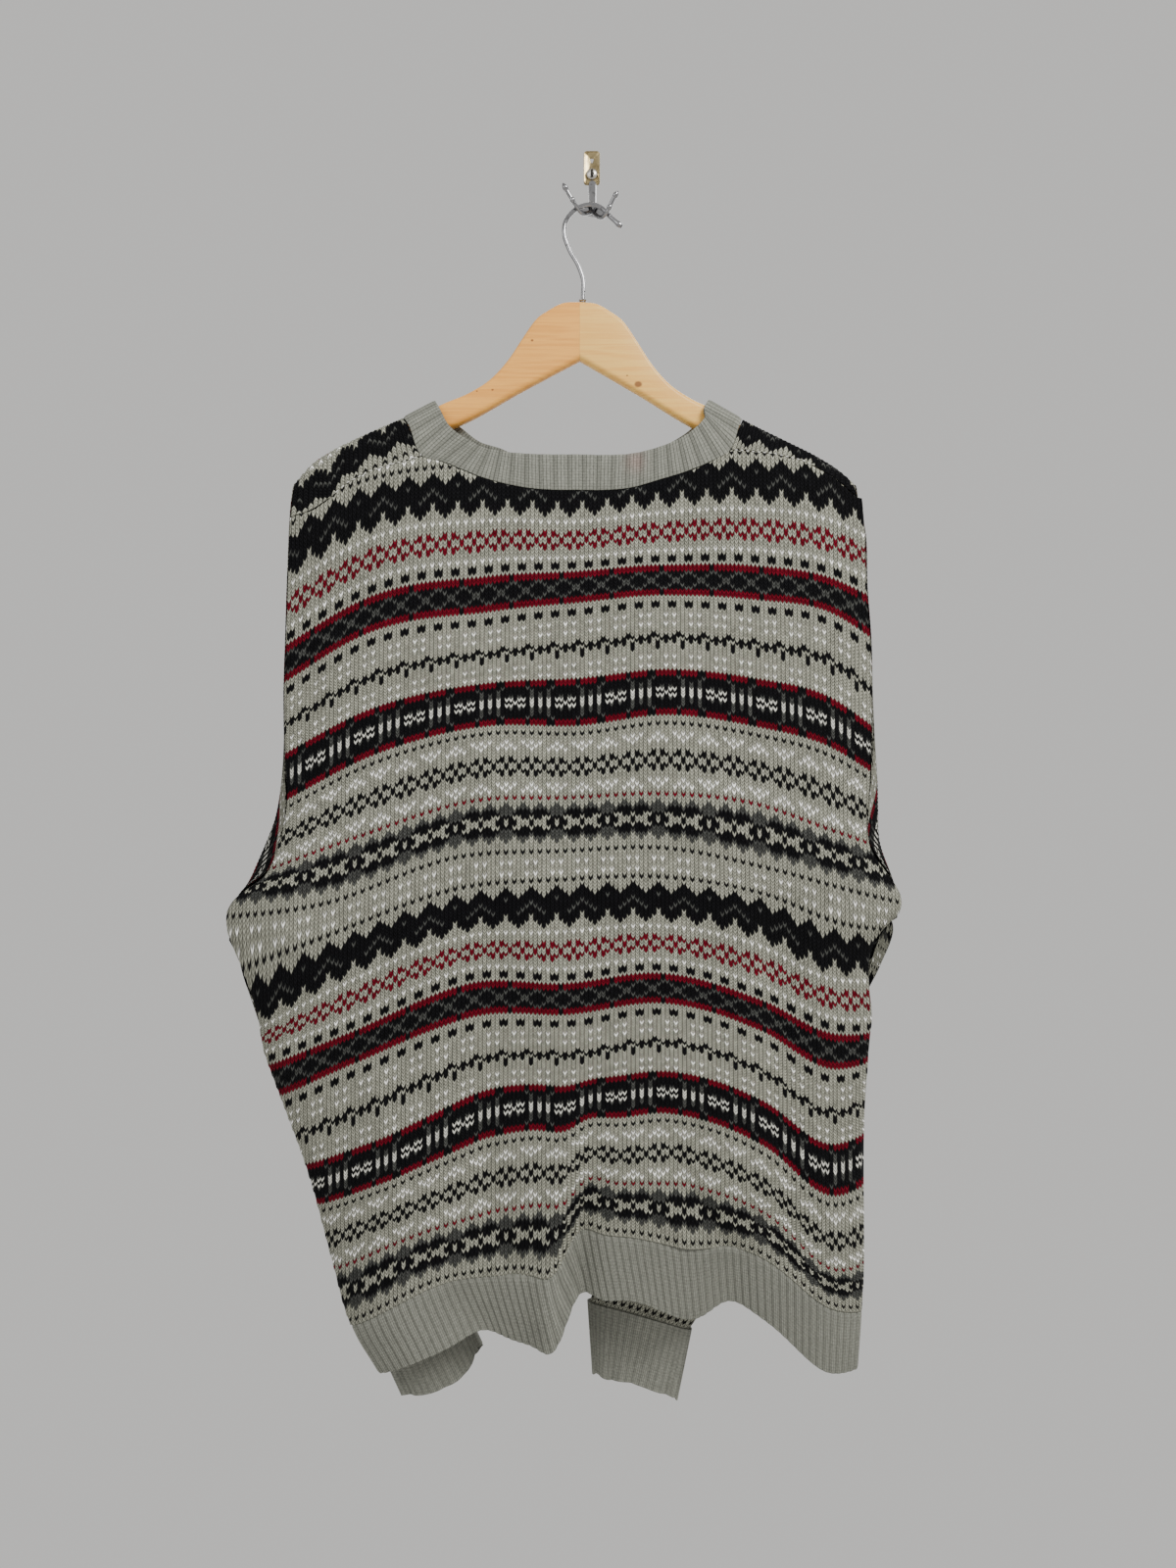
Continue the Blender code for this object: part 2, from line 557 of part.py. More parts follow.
def make_neckband(back, left, right, first_full):
    """From the left front edge up over the hanger, along the back and down to the right front edge."""
    lines = []
    for grid, neckline, over in ((left, LEFT_NECKLINE, NECK_OVER_LEFT), (right, RIGHT_NECKLINE, NECK_OVER_RIGHT)):
        inwards = 4 if over[0] < HANGER_X else -4
        sewn = [tuple(grid[first_full][c]) for c in range(NECK_COLUMN + len(neckline), NECK_COLUMN, -1)]
        free = [(x, -FRONT_DEPTH, z) for _, _, x, z in neckline[::-1]]
        sewn += [tuple(grid[row][NECK_COLUMN]) for row in range(first_full, 0, -1)]
        free += over_board(over[1] + inwards, over[1], over[1] + inwards)[::-1]
        lines.append((sewn, free))
    along_back = back[0][len(LEFT_SEAM_F) - 1 : len(LEFT_SEAM_F) + len(NECK_F) + 1]
    back_free = [
        (float(smooth(BACK_NECK_FREE, p[0], 1)), p[1], float(smooth(BACK_NECK_FREE, p[0], 2))) for p in along_back
    ]
    sewn = np.array(lines[0][0] + [tuple(p) for p in along_back] + lines[1][0][::-1])
    free = np.array(lines[0][1] + back_free + lines[1][1][::-1])
    across = free - sewn
    sewn = sewn + across / np.linalg.norm(across, axis=1)[:, None] * 1.2 * SEAM_GAP
    steps = np.linalg.norm(np.diff((sewn + free) / 2, axis=0), axis=1)
    places = np.concatenate([[0], np.cumsum(steps)])
    where = np.linspace(0, places[-1], 2 * NECK_RIBS + 1)
    edges = []
    for edge in (sewn, free):
        curved = [smooth(list(zip(places, edge[:, axis])), where) for axis in range(3)]
        edges.append(np.stack(curved, axis=-1))
    straight = along_row(sewn, places, where)
    flat = np.abs(straight[:, 1] + HANGER_DEPTH) > CLOTH_FOLD_RADIUS - 0.8
    edges[0] = np.where(flat[:, None], straight, edges[0])
    ribbed_strip("neckband", [edges[0], (edges[0] + edges[1]) / 2, edges[1]], flip=True, square=())


def quadratic(under, middle, top, v):
    v = np.asarray(v, float)[:, None]
    weights = (2 * (v - 0.5) * (v - 1), 4 * v * (1 - v), 2 * v * (v - 0.5))
    return sum(w * np.array(p, float) for w, p in zip(weights, (under, middle, top)))


def flat_ring(row, depth, half, sign):
    """Points round a flattened sleeve: outer layer from the underarm up, the top, the inner layer back."""
    _, under_x, under_z, middle_x, middle_z, top_x, top_z = row
    line = lambda v: quadratic((under_x, under_z), (middle_x, middle_z), (top_x, top_z), v)
    swell = lambda v: np.clip(1 - np.abs(2 * np.asarray(v) - 1) ** 4, 0.12, 1) ** 0.5
    points = [(under_x, -depth, under_z)]
    steps = np.array(RING_STEPS)
    for (x, z), wide in zip(line(steps), swell(steps)):
        points.append((x, -depth + half * wide, z))
    ends = (0.965, 0.99, 1.0, 0.99, 0.965)
    for v, side in zip(ends, (0.62, 0.4, 0, -0.4, -0.62)):
        x, z = line([v])[0]
        points.append((x, -depth + half * side, z))
    back = steps[-2::-1]
    for (x, z), wide in zip(line(back), swell(back)):
        points.append((x, -depth - half * wide, z))
    return points


def armhole_ring(back, front, first_full, is_left):
    """The sleeve's first ring, a seam's gap away from the edges of back and front."""
    out = np.array((-2 * SEAM_GAP if is_left else 2 * SEAM_GAP, 0, 0))
    edge = 0 if is_left else -1
    under = back[2 * UNDERARM][edge] + out + (0, SEAM_GAP / 2, SEAM_GAP)
    near = [back[int(2 * row)][edge] + out for row in RING_ROWS]
    over = [front[row][0] + out for row in range(1, first_full + 1)]
    far = [front[first_full + 1 + int(2 * (row - 1))][0] + out for row in RING_ROWS[-2::-1]]
    far[-1] = far[-1] + out
    return [tuple(p) for p in [under] + near + over + far]


def fold_ring(first, silhouette, turn, sign):
    """The ring where the sleeve turns back: turn is 0 at the silhouette and 90 on the wall side."""
    angle = math.radians(turn)
    points = []
    low, high = silhouette[-1][0], silhouette[0][0]
    first_low, first_high = first[0][2], max(p[2] for p in first)
    for i, (x, y, z) in enumerate(first):
        height = low + (high - low) * (z - first_low) / (first_high - first_low)
        outer_x = float(smooth(silhouette, height))
        inner_x = outer_x - sign * 7.5
        axis_x = inner_x - sign * FOLD_INNER_RADIUS
        outer = (axis_x + (outer_x - axis_x) * math.cos(angle), -FOLD_AXIS_DEPTH + 16.1 * math.sin(angle))
        inner = (axis_x + (inner_x - axis_x) * math.cos(angle), -FOLD_AXIS_DEPTH + FOLD_INNER_RADIUS * math.sin(angle))
        near_count = len(RING_STEPS)
        if i == 0:
            share = 0.5
        elif i <= near_count:
            share = 1.0
        elif i <= near_count + 5:
            share = (0.9, 0.7, 0.5, 0.3, 0.1)[i - near_count - 1]
        else:
            share = 0.0
        if i == 1 or i == len(first) - 1:
            share = 0.5 + (share - 0.5) * 0.8
        points.append((inner[0] + (outer[0] - inner[0]) * share, inner[1] + (outer[1] - inner[1]) * share, height))
    return points


def wrist_axis(wrist):
    """The direction in which the sleeve leaves its wrist line, downwards."""
    across = np.array([wrist[5] - wrist[1], 0, wrist[6] - wrist[2]], float)
    axis = np.array([across[2], 0, -across[0]])
    axis /= np.linalg.norm(axis)
    return axis if axis[2] < 0 else -axis


def armhole_normals(ring):
    """Outward normals of the first ring, in the plane that the armhole lies in."""
    ring = np.array(ring)
    tangents = np.roll(ring, -1, axis=0) - np.roll(ring, 1, axis=0)
    normals = np.stack([0 * ring[:, 0], -tangents[:, 2], tangents[:, 1]], axis=-1)
    return normals / np.linalg.norm(normals, axis=1)[:, None]


def make_sleeve(name, first, silhouette, rings, is_left):
    sign = -1 if is_left else 1
    grid = [first] + [fold_ring(first, silhouette, turn, sign) for turn in (0, 50, 90)]
    grid = np.array(grid + [flat_ring(row, SLEEVE_DEPTH, SLEEVE_HALF, sign) for row in rings])
    rows, columns = grid.shape[:2]
    square = [(index_of(rows, columns, rows - 1, slice(0, columns)), wrist_axis(rings[-1]))]
    given = [(np.arange(columns), armhole_normals(first))]
    faces = grid_faces(rows, columns, closed=True, flip=not is_left)
    add_object(name, *cloth_wall(grid.reshape(-1, 3), faces, square=square, given=given), "knit")


def make_cuff(name, wrist, hem, is_left):
    turns = np.arange(2 * CUFF_RIBS) / (2 * CUFF_RIBS) * 2 * math.pi
    axis = wrist_axis(wrist)
    grid = []
    for share in (0.0, 0.5, 1.0):
        row = [np.array(a, float) + (np.array(b, float) - np.array(a, float)) * share for a, b in zip(wrist[1:], hem[1:])]
        under_x, under_z, middle_x, middle_z, top_x, top_z = row
        v = 0.5 - 0.5 * np.cos(turns)
        line = quadratic((under_x, under_z), (middle_x, middle_z), (top_x, top_z), v)
        side = np.sign(np.sin(turns)) * np.abs(np.sin(turns)) ** 0.7
        ring = np.stack([line[:, 0], -SLEEVE_DEPTH + SLEEVE_HALF * side, line[:, 1]], axis=-1)
        grid.append(ring + axis * (1.2 * SEAM_GAP if share == 0 else 0))
    ribbed_strip(name, grid, flip=not is_left, closed=True, square=(axis,))


def make_band(name, depth):
    """A button band: a long strip with ribs along it."""
    share = np.linspace(0, 1, 2 * BAND_RIBS + 1)
    x = BAND_MIDDLE - BAND_WIDTH / 2 + BAND_WIDTH * share
    f = (BAND_MIDDLE - SECTIONS[HEM][5]) / (SECTIONS[HEM][6] - SECTIONS[HEM][5])
    bottom = float(course_z(np.array([f]), HEM)[0]) + 6
    grid = []
    for z in np.linspace(BAND_TOP, bottom, 9):
        grid.append([(column, -depth, z) for column in x])
    raised = np.zeros((len(grid), len(x)))
    raised[:, 1::2] = RIB_RAISE * 0.6
    faces = grid_faces(len(grid), len(x), flip=True)
    wall = cloth_wall(np.array(grid).reshape(-1, 3), faces, raised.reshape(-1))
    add_object(name, *wall, "rib", 80)


def turned(name, profile, centre, finish, sides=16):
    """A solid turned about the Y axis from a profile of (radius, y) that starts at its near side."""
    points, faces = [], []
    for radius, y in profile:
        for k in range(sides):
            angle = 2 * math.pi * k / sides
            points.append((centre[0] + radius * math.cos(angle), centre[1] + y, centre[2] + radius * math.sin(angle)))
    faces = grid_faces(len(profile), sides, closed=True)
    faces.append(tuple(range(sides)))
    faces.append(tuple((len(profile) - 1) * sides + k for k in range(sides))[::-1])
    return add_object(name, points, faces, finish)


def make_buttons():
    full = BUTTON_THICKNESS
    profile = ((5.5, 0), (BUTTON_RADIUS, 0.6), (BUTTON_RADIUS, full - 0.7), (6.2, full))
    seat = -(LEFT_BAND_DEPTH - RIB_RAISE * 0.6 - 0.3)
    for i in range(BUTTONS):
        z = FIRST_BUTTON_Z + (LAST_BUTTON_Z - FIRST_BUTTON_Z) * i / (BUTTONS - 1)
        turned(f"button_{i + 1}", profile, (BAND_MIDDLE, seat, z), "button", 14)


def make_board(name, side):
    """One half of the hanger's board: rounded sections from the joint to the tip."""
    grid = []
    for out in BOARD_STATIONS:
        signed = side * out
        top = float(board_z(signed, BOARD_TOP))
        bottom = float(board_z(signed, BOARD_BOTTOM))
        half = HANGER_HALF_THICKNESS * (1 if out < 200 else 0.85 if out < 205 else 0.6)
        tall = (top - bottom) / 2
        round_y, round_z = 0.75 * half, min(0.5 * tall, 4.0)
        ring = []
        for corner_y, corner_z, start in ((1, 1, 0), (-1, 1, 90), (-1, -1, 180), (1, -1, 270)):
            for turn in (0, 45, 90):
                angle = math.radians(start + turn)
                y = corner_y * (half - round_y) + round_y * math.cos(angle)
                z = corner_z * (tall - round_z) + round_z * math.sin(angle)
                ring.append((HANGER_X + signed, -HANGER_DEPTH + y, (top + bottom) / 2 + z))
        grid.append(ring)
    grid = np.array(grid)
    rows, count = grid.shape[:2]
    faces = grid_faces(rows, count, closed=True, flip=side > 0)
    start, end = tuple(range(count)), tuple((rows - 1) * count + k for k in range(count))
    faces += [start, end[::-1]] if side < 0 else [start[::-1], end]
    add_object(name, grid.reshape(-1, 3), faces, "wood")


def tube_points(path, count):
    """Evenly spread points on a smooth curve through the path."""
    path = np.array(path, float)
    along = np.concatenate([[0], np.cumsum(np.linalg.norm(np.diff(path, axis=0), axis=1))])
    where = np.linspace(0, along[-1], count)
    return np.stack([smooth(list(zip(along, path[:, axis])), where) for axis in range(path.shape[1])], axis=-1)


def tube(name, centres, radii, finish, sides=8):
    """A round bar along the centres, with closed ends."""
    centres = np.asarray(centres, float)
    tangents = np.gradient(centres, axis=0)
    tangents /= np.linalg.norm(tangents, axis=1)[:, None]
    side = np.cross(tangents[0], (0.1, 1, 0.2))
    points = []
    for centre, tangent, radius in zip(centres, tangents, radii):
        side = side - tangent * np.dot(side, tangent)
        side /= np.linalg.norm(side)
        other = np.cross(tangent, side)
        for k in range(sides):
            angle = 2 * math.pi * k / sides
            points.append(centre + radius * (math.cos(angle) * side + math.sin(angle) * other))
    rows = len(centres)
    faces = grid_faces(rows, sides, closed=True, flip=True)
    faces.append(tuple(range(sides))[::-1])
    faces.append(tuple((rows - 1) * sides + k for k in range(sides)))
    return add_object(name, points, faces, finish)


def make_wire():
    path = [(x, -HANGER_DEPTH, z) for x, z in WIRE_PATH]
    centres = tube_points(path, 34)
    radii = [WIRE_RADIUS] * len(centres)
    tube("hanger_wire", centres, radii, "chrome")


def box_points(low, high):
    corners = [(x, y, z) for x in (low[0], high[0]) for y in (low[1], high[1]) for z in (low[2], high[2])]
    faces = [(0, 1, 3, 2), (4, 6, 7, 5), (0, 4, 5, 1), (2, 3, 7, 6), (0, 2, 6, 4), (1, 5, 7, 3)]
    return corners, faces


def boolean(target, tool, operation):
    modifier = target.modifiers.new(operation.title() + tool.name, "BOOLEAN")
    modifier.operation = operation
    modifier.solver = "EXACT"
    modifier.object = tool
    tool.hide_render = True
    tool.display_type = "WIRE"


def make_wall_hook():
    half = PLATE_WIDTH / 2
    corner = 2.0
    outline = []
    for cx, cz, start in ((1, 1, 0), (-1, 1, 90), (-1, -1, 180), (1, -1, 270)):
        for turn in (0, 45, 90):
            angle = math.radians(start + turn)
            x = cx * (half - corner) + corner * math.cos(angle)
            z = cz * (PLATE_HEIGHT / 2 - corner) + corner * math.sin(angle)
            outline.append((x, z))
    count = len(outline)
    points = [(x, -PLATE_THICKNESS, z) for x, z in outline] + [(x, 0, z) for x, z in outline]
    faces = [tuple(range(count)), tuple(range(count, 2 * count))[::-1]]
    faces += [(k, k + count, (k + 1) % count + count, (k + 1) % count) for k in range(count)]
    hook = add_object("wall_hook", points, faces, "chrome")
    hole = turned("plate_hole", ((PLATE_HOLE_RADIUS, -5), (PLATE_HOLE_RADIUS, 3)), (0, 0, PLATE_HOLE_Z), "chrome", 12)
    boolean(hook, hole, "DIFFERENCE")
    shank = tube_points([(x, -depth, z) for x, depth, z in SHANK_PATH], 9)
    radii = np.linspace(SHANK_RADIUS, 2.6, len(shank))
    boolean(hook, tube("shank", shank, radii, "chrome", 12), "UNION")
    for name, path in (("left_prong", LEFT_PRONG), ("right_prong", RIGHT_PRONG)):
        line = tube_points([(x, -depth, z) for x, depth, z in path], 14)
        thick = [PRONG_RADIUS] * 12 + [PRONG_BALL, PRONG_RADIUS]
        boolean(hook, tube(name, line, thick, "chrome", 8), "UNION")


def make_screw():
    r, h = SCREW_HEAD_RADIUS, SCREW_HEAD_HEIGHT
    profile = ((r, 0), (r, -0.4 * h), (0.8 * r, -0.8 * h), (0.45 * r, -h))
    seat = (0, -(PLATE_THICKNESS + 0.3), SCREW_Z)
    head = turned("wall_screw", profile[::-1], seat, "screw", 16)
    low = (-SLOT_WIDTH / 2, seat[1] - 2 * h, SCREW_Z - 2 * r)
    high = (SLOT_WIDTH / 2, seat[1] - h + SLOT_DEPTH, SCREW_Z + 2 * r)
    slot = add_object("slot", *box_points(low, high), "screw")
    boolean(head, slot, "DIFFERENCE")


def main():
    for old in list(bpy.data.objects):
        bpy.data.objects.remove(old)
    back = back_grid()
    left, first_full = front_grid(LEFT_FRONT_COLUMNS, LEFT_NECKLINE, back, True)
    right, _ = front_grid(RIGHT_FRONT_COLUMNS, RIGHT_NECKLINE, back, False)
    make_back(back)
    make_front("left_front", left, first_full, True)
    make_front("right_front", right, first_full, False)
    make_back_hem(back)
    make_front_hem("left_front_hem_rib", LEFT_FRONT_COLUMNS, left, True)
    make_front_hem("right_front_hem_rib", RIGHT_FRONT_COLUMNS, right, False)
    make_neckband(back, left, right, first_full)
    left_armhole = armhole_ring(back, left, first_full, True)
    right_armhole = armhole_ring(back, right, first_full, False)
    make_sleeve("left_sleeve", left_armhole, LEFT_SILHOUETTE, LEFT_SLEEVE, True)
    make_sleeve("right_sleeve", right_armhole, RIGHT_SILHOUETTE, RIGHT_SLEEVE, False)
    make_cuff("left_cuff", LEFT_SLEEVE[-1], LEFT_CUFF_HEM, True)
    make_cuff("right_cuff", RIGHT_SLEEVE[-1], RIGHT_CUFF_HEM, False)
    make_band("left_button_band", LEFT_BAND_DEPTH)
    make_band("right_button_band", RIGHT_BAND_DEPTH)
    make_buttons()
    make_board("hanger_left", -1)
    make_board("hanger_right", 1)
    make_wire()
    make_wall_hook()
    make_screw()


main()
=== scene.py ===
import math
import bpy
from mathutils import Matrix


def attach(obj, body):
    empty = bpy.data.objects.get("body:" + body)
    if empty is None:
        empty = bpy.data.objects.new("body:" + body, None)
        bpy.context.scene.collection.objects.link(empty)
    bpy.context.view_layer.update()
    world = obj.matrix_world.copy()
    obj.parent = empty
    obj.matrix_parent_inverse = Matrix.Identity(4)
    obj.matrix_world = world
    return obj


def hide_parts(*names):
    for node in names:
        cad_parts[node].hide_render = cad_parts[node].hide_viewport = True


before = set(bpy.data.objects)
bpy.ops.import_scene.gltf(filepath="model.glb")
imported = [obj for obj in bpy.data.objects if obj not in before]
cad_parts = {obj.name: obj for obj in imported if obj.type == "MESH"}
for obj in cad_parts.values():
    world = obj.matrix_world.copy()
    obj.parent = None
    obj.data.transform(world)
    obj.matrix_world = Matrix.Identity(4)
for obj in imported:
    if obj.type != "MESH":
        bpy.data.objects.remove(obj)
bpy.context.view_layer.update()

# A patterned knitted cardigan, back outwards, on a wooden hanger. Lengths are in millimetres until
# the meshes are made; X is right, Z up and depths are distances from the wall plane, so Y = -depth.

from types import SimpleNamespace

import bpy
import numpy as np
from mathutils import Vector

MM = 0.001
RNG = np.random.default_rng(11)

# Stitch gauge: a stitch is WALE wide and COURSE tall, and the courses above the yoke are stretched
WALE, COURSE, YOKE_STRETCH = 3.16, 2.45, 1.2
SEAM_GAP = 0.4
# A front's cloth runs over the hanger first. So its panel is SHOULDER_LEAD courses further on at the
# shoulder, which is taken up in LEAD_COURSES, and its strip starts SEAM_LEAD after the back's seam.
SHOULDER_LEAD, LEAD_COURSES, SEAM_LEAD = 26, 108, 1
# Ribs lap into the knit that they are sewn to, and their rim there is sunk under its face
LAP, RIM_SINK = 0.7, 0.9
# Wales stand proud of the furrows beside them, and faces under about LEAST_FACE mm2 are left out
WALE_RISE, FURROW_SINK, LEAST_FACE = 0.36, 0.12, 0.04
STITCH_UNEVENNESS, LEG_UNEVENNESS = 0.09, 0.05

HANGER_X, HANGER_DEPTH, HANGER_HALF, HANGER_TILT = -9.5, 31.0, 5.6, 0.0244
CLOTH_FOLD_RADIUS = 9.3
# Heights of the hanger's edges and of the cloth folded over it: out from the middle, z
BOARD_TOP = (
    (0, -120.0), (14, -121.5), (24, -127.0), (33, -133.5), (44, -149.0), (54, -164.5), (68, -180.5),
    (84, -191.5), (107, -202.0), (126, -212.8), (159, -228.4), (193, -246.8), (203, -255.0),
    (207.5, -262.0),
)
BOARD_BOTTOM = (
    (0, -165.0), (44, -189.5), (88, -215.0), (126, -231.0), (159, -245.5), (193, -261.5),
    (207.5, -268.0),
)
CLOTH_FOLD = (
    (84, -186.5), (107, -197.0), (126, -207.8), (159, -223.2), (193, -240.8), (206, -250.0),
    (214, -258.5), (221, -268.0),
)

# The body's sections, as in the solids, each with the course of the chart that it follows. z is
# given at the STATIONS, fractions of the width.
STATIONS = (0.0, 0.15, 0.35, 0.5, 0.65, 0.8, 0.93, 1.0)
SECTION_COLUMNS = ("course", "depth", "edge", "turn", "inset", "x_left", "x_right", "z")
SECTIONS = (
    (-8.0, 43, 37, 0.97, 8, -231, 203, None),
    (13.5, 47, 36, 0.97, 8, -233, 209, (-340, -305, -292, -293, -286, -283, -290, -302)),
    (27.0, 49, 36, 0.97, 8, -234, 210, (-380, -344, -329, -326, -321, -321, -329, -341)),
    (42.0, 52, 36, 0.97, 8, -235, 213, (-422, -385, -369, -362, -356, -360, -370, -389)),
    (65.5, 55, 36, 0.97, 8, -234, 213, (-472, -439, -419, -416, -409, -416, -431, -451)),
    (81.5, 57, 36, 0.97, 8, -233, 212, (-510, -477, -454, -454, -446, -455, -471, -488)),
    (101.5, 60, 36, 0.97, 8, -246, 211, (-557, -532, -504, -502, -499, -506, -526, -537)),
    (121.0, 63, 36, 1.0, 0, -279, 235, (-608, -592, -556, -551, -549, -564, -584, -592)),
    (125.5, 64, 36, 1.0, 0, -269, 224, (-633, -604, -569, -563, -561, -573, -597, -603)),
    (154.0, 67, 37, 1.0, 0, -250, 214, (-702, -672, -635, -635, -628, -646, -674, -677)),
    (169.0, 68, 37, 1.0, 0, -237, 211, (-737, -704, -671, -669, -661, -680, -713, -711)),
    (192.5, 69, 38, 1.0, 0, -219, 208, (-785, -758, -721, -716, -708, -728, -765, -762)),
    (228.5, 68, 38, 1.0, 0, -198, 208, (-861, -829, -807, -791, -789, -810, -854, -857)),
    (244.5, 66, 38, 1.0, 0, -187, 207, (-901, -866, -850, -825, -832, -842, -880, -890)),
    (265.0, 62, 37, 1.0, 0, -164, 204, (-942, -915, -907, -878, -894, -896, -933, -938)),
)
UNDERARM, RIB_TOP, HEM = 7, 13, 14
COURSES = np.array([section[0] for section in SECTIONS])
FIRST_COURSE, YOKE_COURSE, RIB_COURSE, HEM_COURSE = -10, 13.5, 246.5, 265.0
# Width of the back at the yoke, and how far the fronts are set in beside an armhole
YOKE_WIDTH, ARMHOLE_INSET = 442, 8
# The chart's stitch MIDDLE_WALE lies at MIDDLE_X
MIDDLE_WALE, MIDDLE_X = 64, -28.0
# Left end and width of the back where the fronts' strips are sewn on
SEAM_LINE_LEFT, SEAM_LINE_WIDTH = -232, 438

SEAM_LEFT = (
    (-231, -288), (-212, -282), (-201, -274), (-187, -262), (-169, -253), (-152, -248), (-130, -242),
)
BACK_NECKLINE = (
    (-130, -242), (-115, -246), (-85, -258), (-48, -266.5), (-10, -268), (28, -266.5), (58, -258),
    (87, -248), (106, -237),
)
SEAM_RIGHT = ((106, -237), (139, -240), (161, -245), (184, -257), (203, -273))
LEFT_SEAM_F = (0, 0.008, 0.03, 0.07, 0.12, 0.175, 0.2327)
NECK_F = (0.27, 0.305, 0.34, 0.375, 0.40, 0.43, 0.465, 0.51, 0.555, 0.60, 0.65, 0.70, 0.74)
RIGHT_SEAM_F = (0.7765, 0.825, 0.88, 0.93, 0.97, 0.992, 1)
BACK_COLUMNS = LEFT_SEAM_F + NECK_F + RIGHT_SEAM_F

# Folds from one section and fraction of the width to another: name, from row, from f, to row, to f,
# half width, raise in mm, and for a pleat also its step across and its drop
BACK_FOLDS = (
    ("middle pleat", 10.6, 0.50, 14, 0.395, 0.030, 0, 10, 9),
    ("left long fold", 7.2, 0.39, 14, 0.26, 0.034, -6),
    ("left scallop", 12.4, 0.20, 14, 0.22, 0.030, -6),
    ("right crease", 7.0, 0.845, 13.2, 0.855, 0.024, -7),
    ("right hem recess", 12.6, 0.76, 14, 0.725, 0.034, -9),
    ("right hem crest", 11.0, 0.93, 14, 0.90, 0.050, 8),
    ("left hem crest", 11.0, 0.10, 14, 0.09, 0.050, 5),
)
# Softer creases that only the shown cloth has: raised beside the troughs, and uneven
SOFT_CREASES = (
    ("left underarm drag", 4.6, 0.06, 8.6, 0.20, 0.018, -2.4),
    ("left underarm drag 2", 5.4, 0.02, 9.4, 0.13, 0.014, 2.0),
    ("right underarm drag", 4.8, 0.95, 8.2, 0.88, 0.016, -2.2),
    ("middle ridge", 7.6, 0.46, 11.4, 0.48, 0.022, 2.2),
    ("low diagonal", 11.0, 0.60, 13.9, 0.78, 0.016, -3.2),
    ("low diagonal ridge", 11.2, 0.56, 13.9, 0.69, 0.020, 2.4),
    ("left hem furrow", 10.4, 0.30, 13.9, 0.33, 0.016, -2.6),
    ("left side ridge", 8.4, 0.16, 12.6, 0.15, 0.020, 2.4),
    ("right side ridge", 8.0, 0.79, 12.4, 0.80, 0.016, 2.4),
    ("yoke hollow", 1.0, 0.30, 5.0, 0.36, 0.030, -1.6),
    ("yoke hollow 2", 1.0, 0.70, 4.4, 0.66, 0.026, -1.4),
)
FRONT_FOLDS = (
    ("left soft fold", 7.5, 0.20, 14, 0.24, 0.035, -4),
    ("right soft fold", 7.5, 0.78, 14, 0.74, 0.035, -4),
)
# Where the back's hem rises: fraction of the width, half width, mm
HEM_RISES = ((0.22, 0.035, 7), (0.415, 0.030, 6), (0.725, 0.040, 11))
# Brings a pleat's profile, the distance across times the bell, to a peak of 1
STEP_PEAK = 1.65
RIPPLE = 1.6

# Depths of the fronts at the middle and at the armhole; below FRONT_RISE_ROW each row lies
# FRONT_RISE further up towards the middle
FRONT_DEPTH, FRONT_ARMHOLE_DEPTH = 22.3, 25.0
FRONT_RISE_ROW, FRONT_RISE = 10, 1.5
FRONT_EDGE_LEFT, FRONT_EDGE_RIGHT = -25.4, 5.4
# Column of a front's grid where the neckline starts, and its first row that reaches the front edge
NECK_COLUMN, FIRST_FULL = 6, 5
DENSE_ROWS = 8
# The back's part of the neckband: sewn x, free x, free z
BACK_NECK_FREE = (
    (-130, -107, -220.5), (-115, -94, -229.5), (-85, -77, -236.5), (-48, -48, -240), (-10, -10, -240.5),
    (28, 29, -240), (58, 56, -233), (87, 76, -222.5), (106, 86, -212),
)

# The sleeves fold round an upright axis at the body's side and hang down flat behind it
SLEEVE_DEPTH, SLEEVE_HALF = 10.9, 6.4
FOLD_AXIS_DEPTH, FOLD_INNER_RADIUS, FOLD_OUTER_RADIUS, FOLD_WIDTH = 20.6, 3.6, 16.1, 7.5
SLEEVE_COURSE = 60
# Round a ring of the sleeve: one layer's places from under to top, the top edge's with its sides,
# the body's rows at the armhole, and how far out each point lies at the fold
RING_STEPS = (0.05, 0.12, 0.20, 0.30, 0.43, 0.57, 0.70, 0.82, 0.93)
RING_EDGE, RING_EDGE_SIDES = (0.965, 0.99, 1.0, 0.99, 0.965), (0.62, 0.4, 0, -0.4, -0.62)
RING_ROWS = (6.5, 6, 5.5, 5, 4, 3, 2, 1, 0)
FOLD_SHARES = (0.5, 0.9) + 8 * (1.0,) + (0.9, 0.7, 0.5, 0.3, 0.1) + 7 * (0.0,) + (0.1,)
RING_TOP, RING_FINE = 12, 6

BAND_MIDDLE, BAND_WIDTH, BAND_TOP = -10.0, 30.0, -254.5
BUTTONS, BUTTON_RADIUS, BUTTON_THICKNESS = 6, 7.5, 2.6
FIRST_BUTTON_Z, LAST_BUTTON_Z = -268.0, -862.0

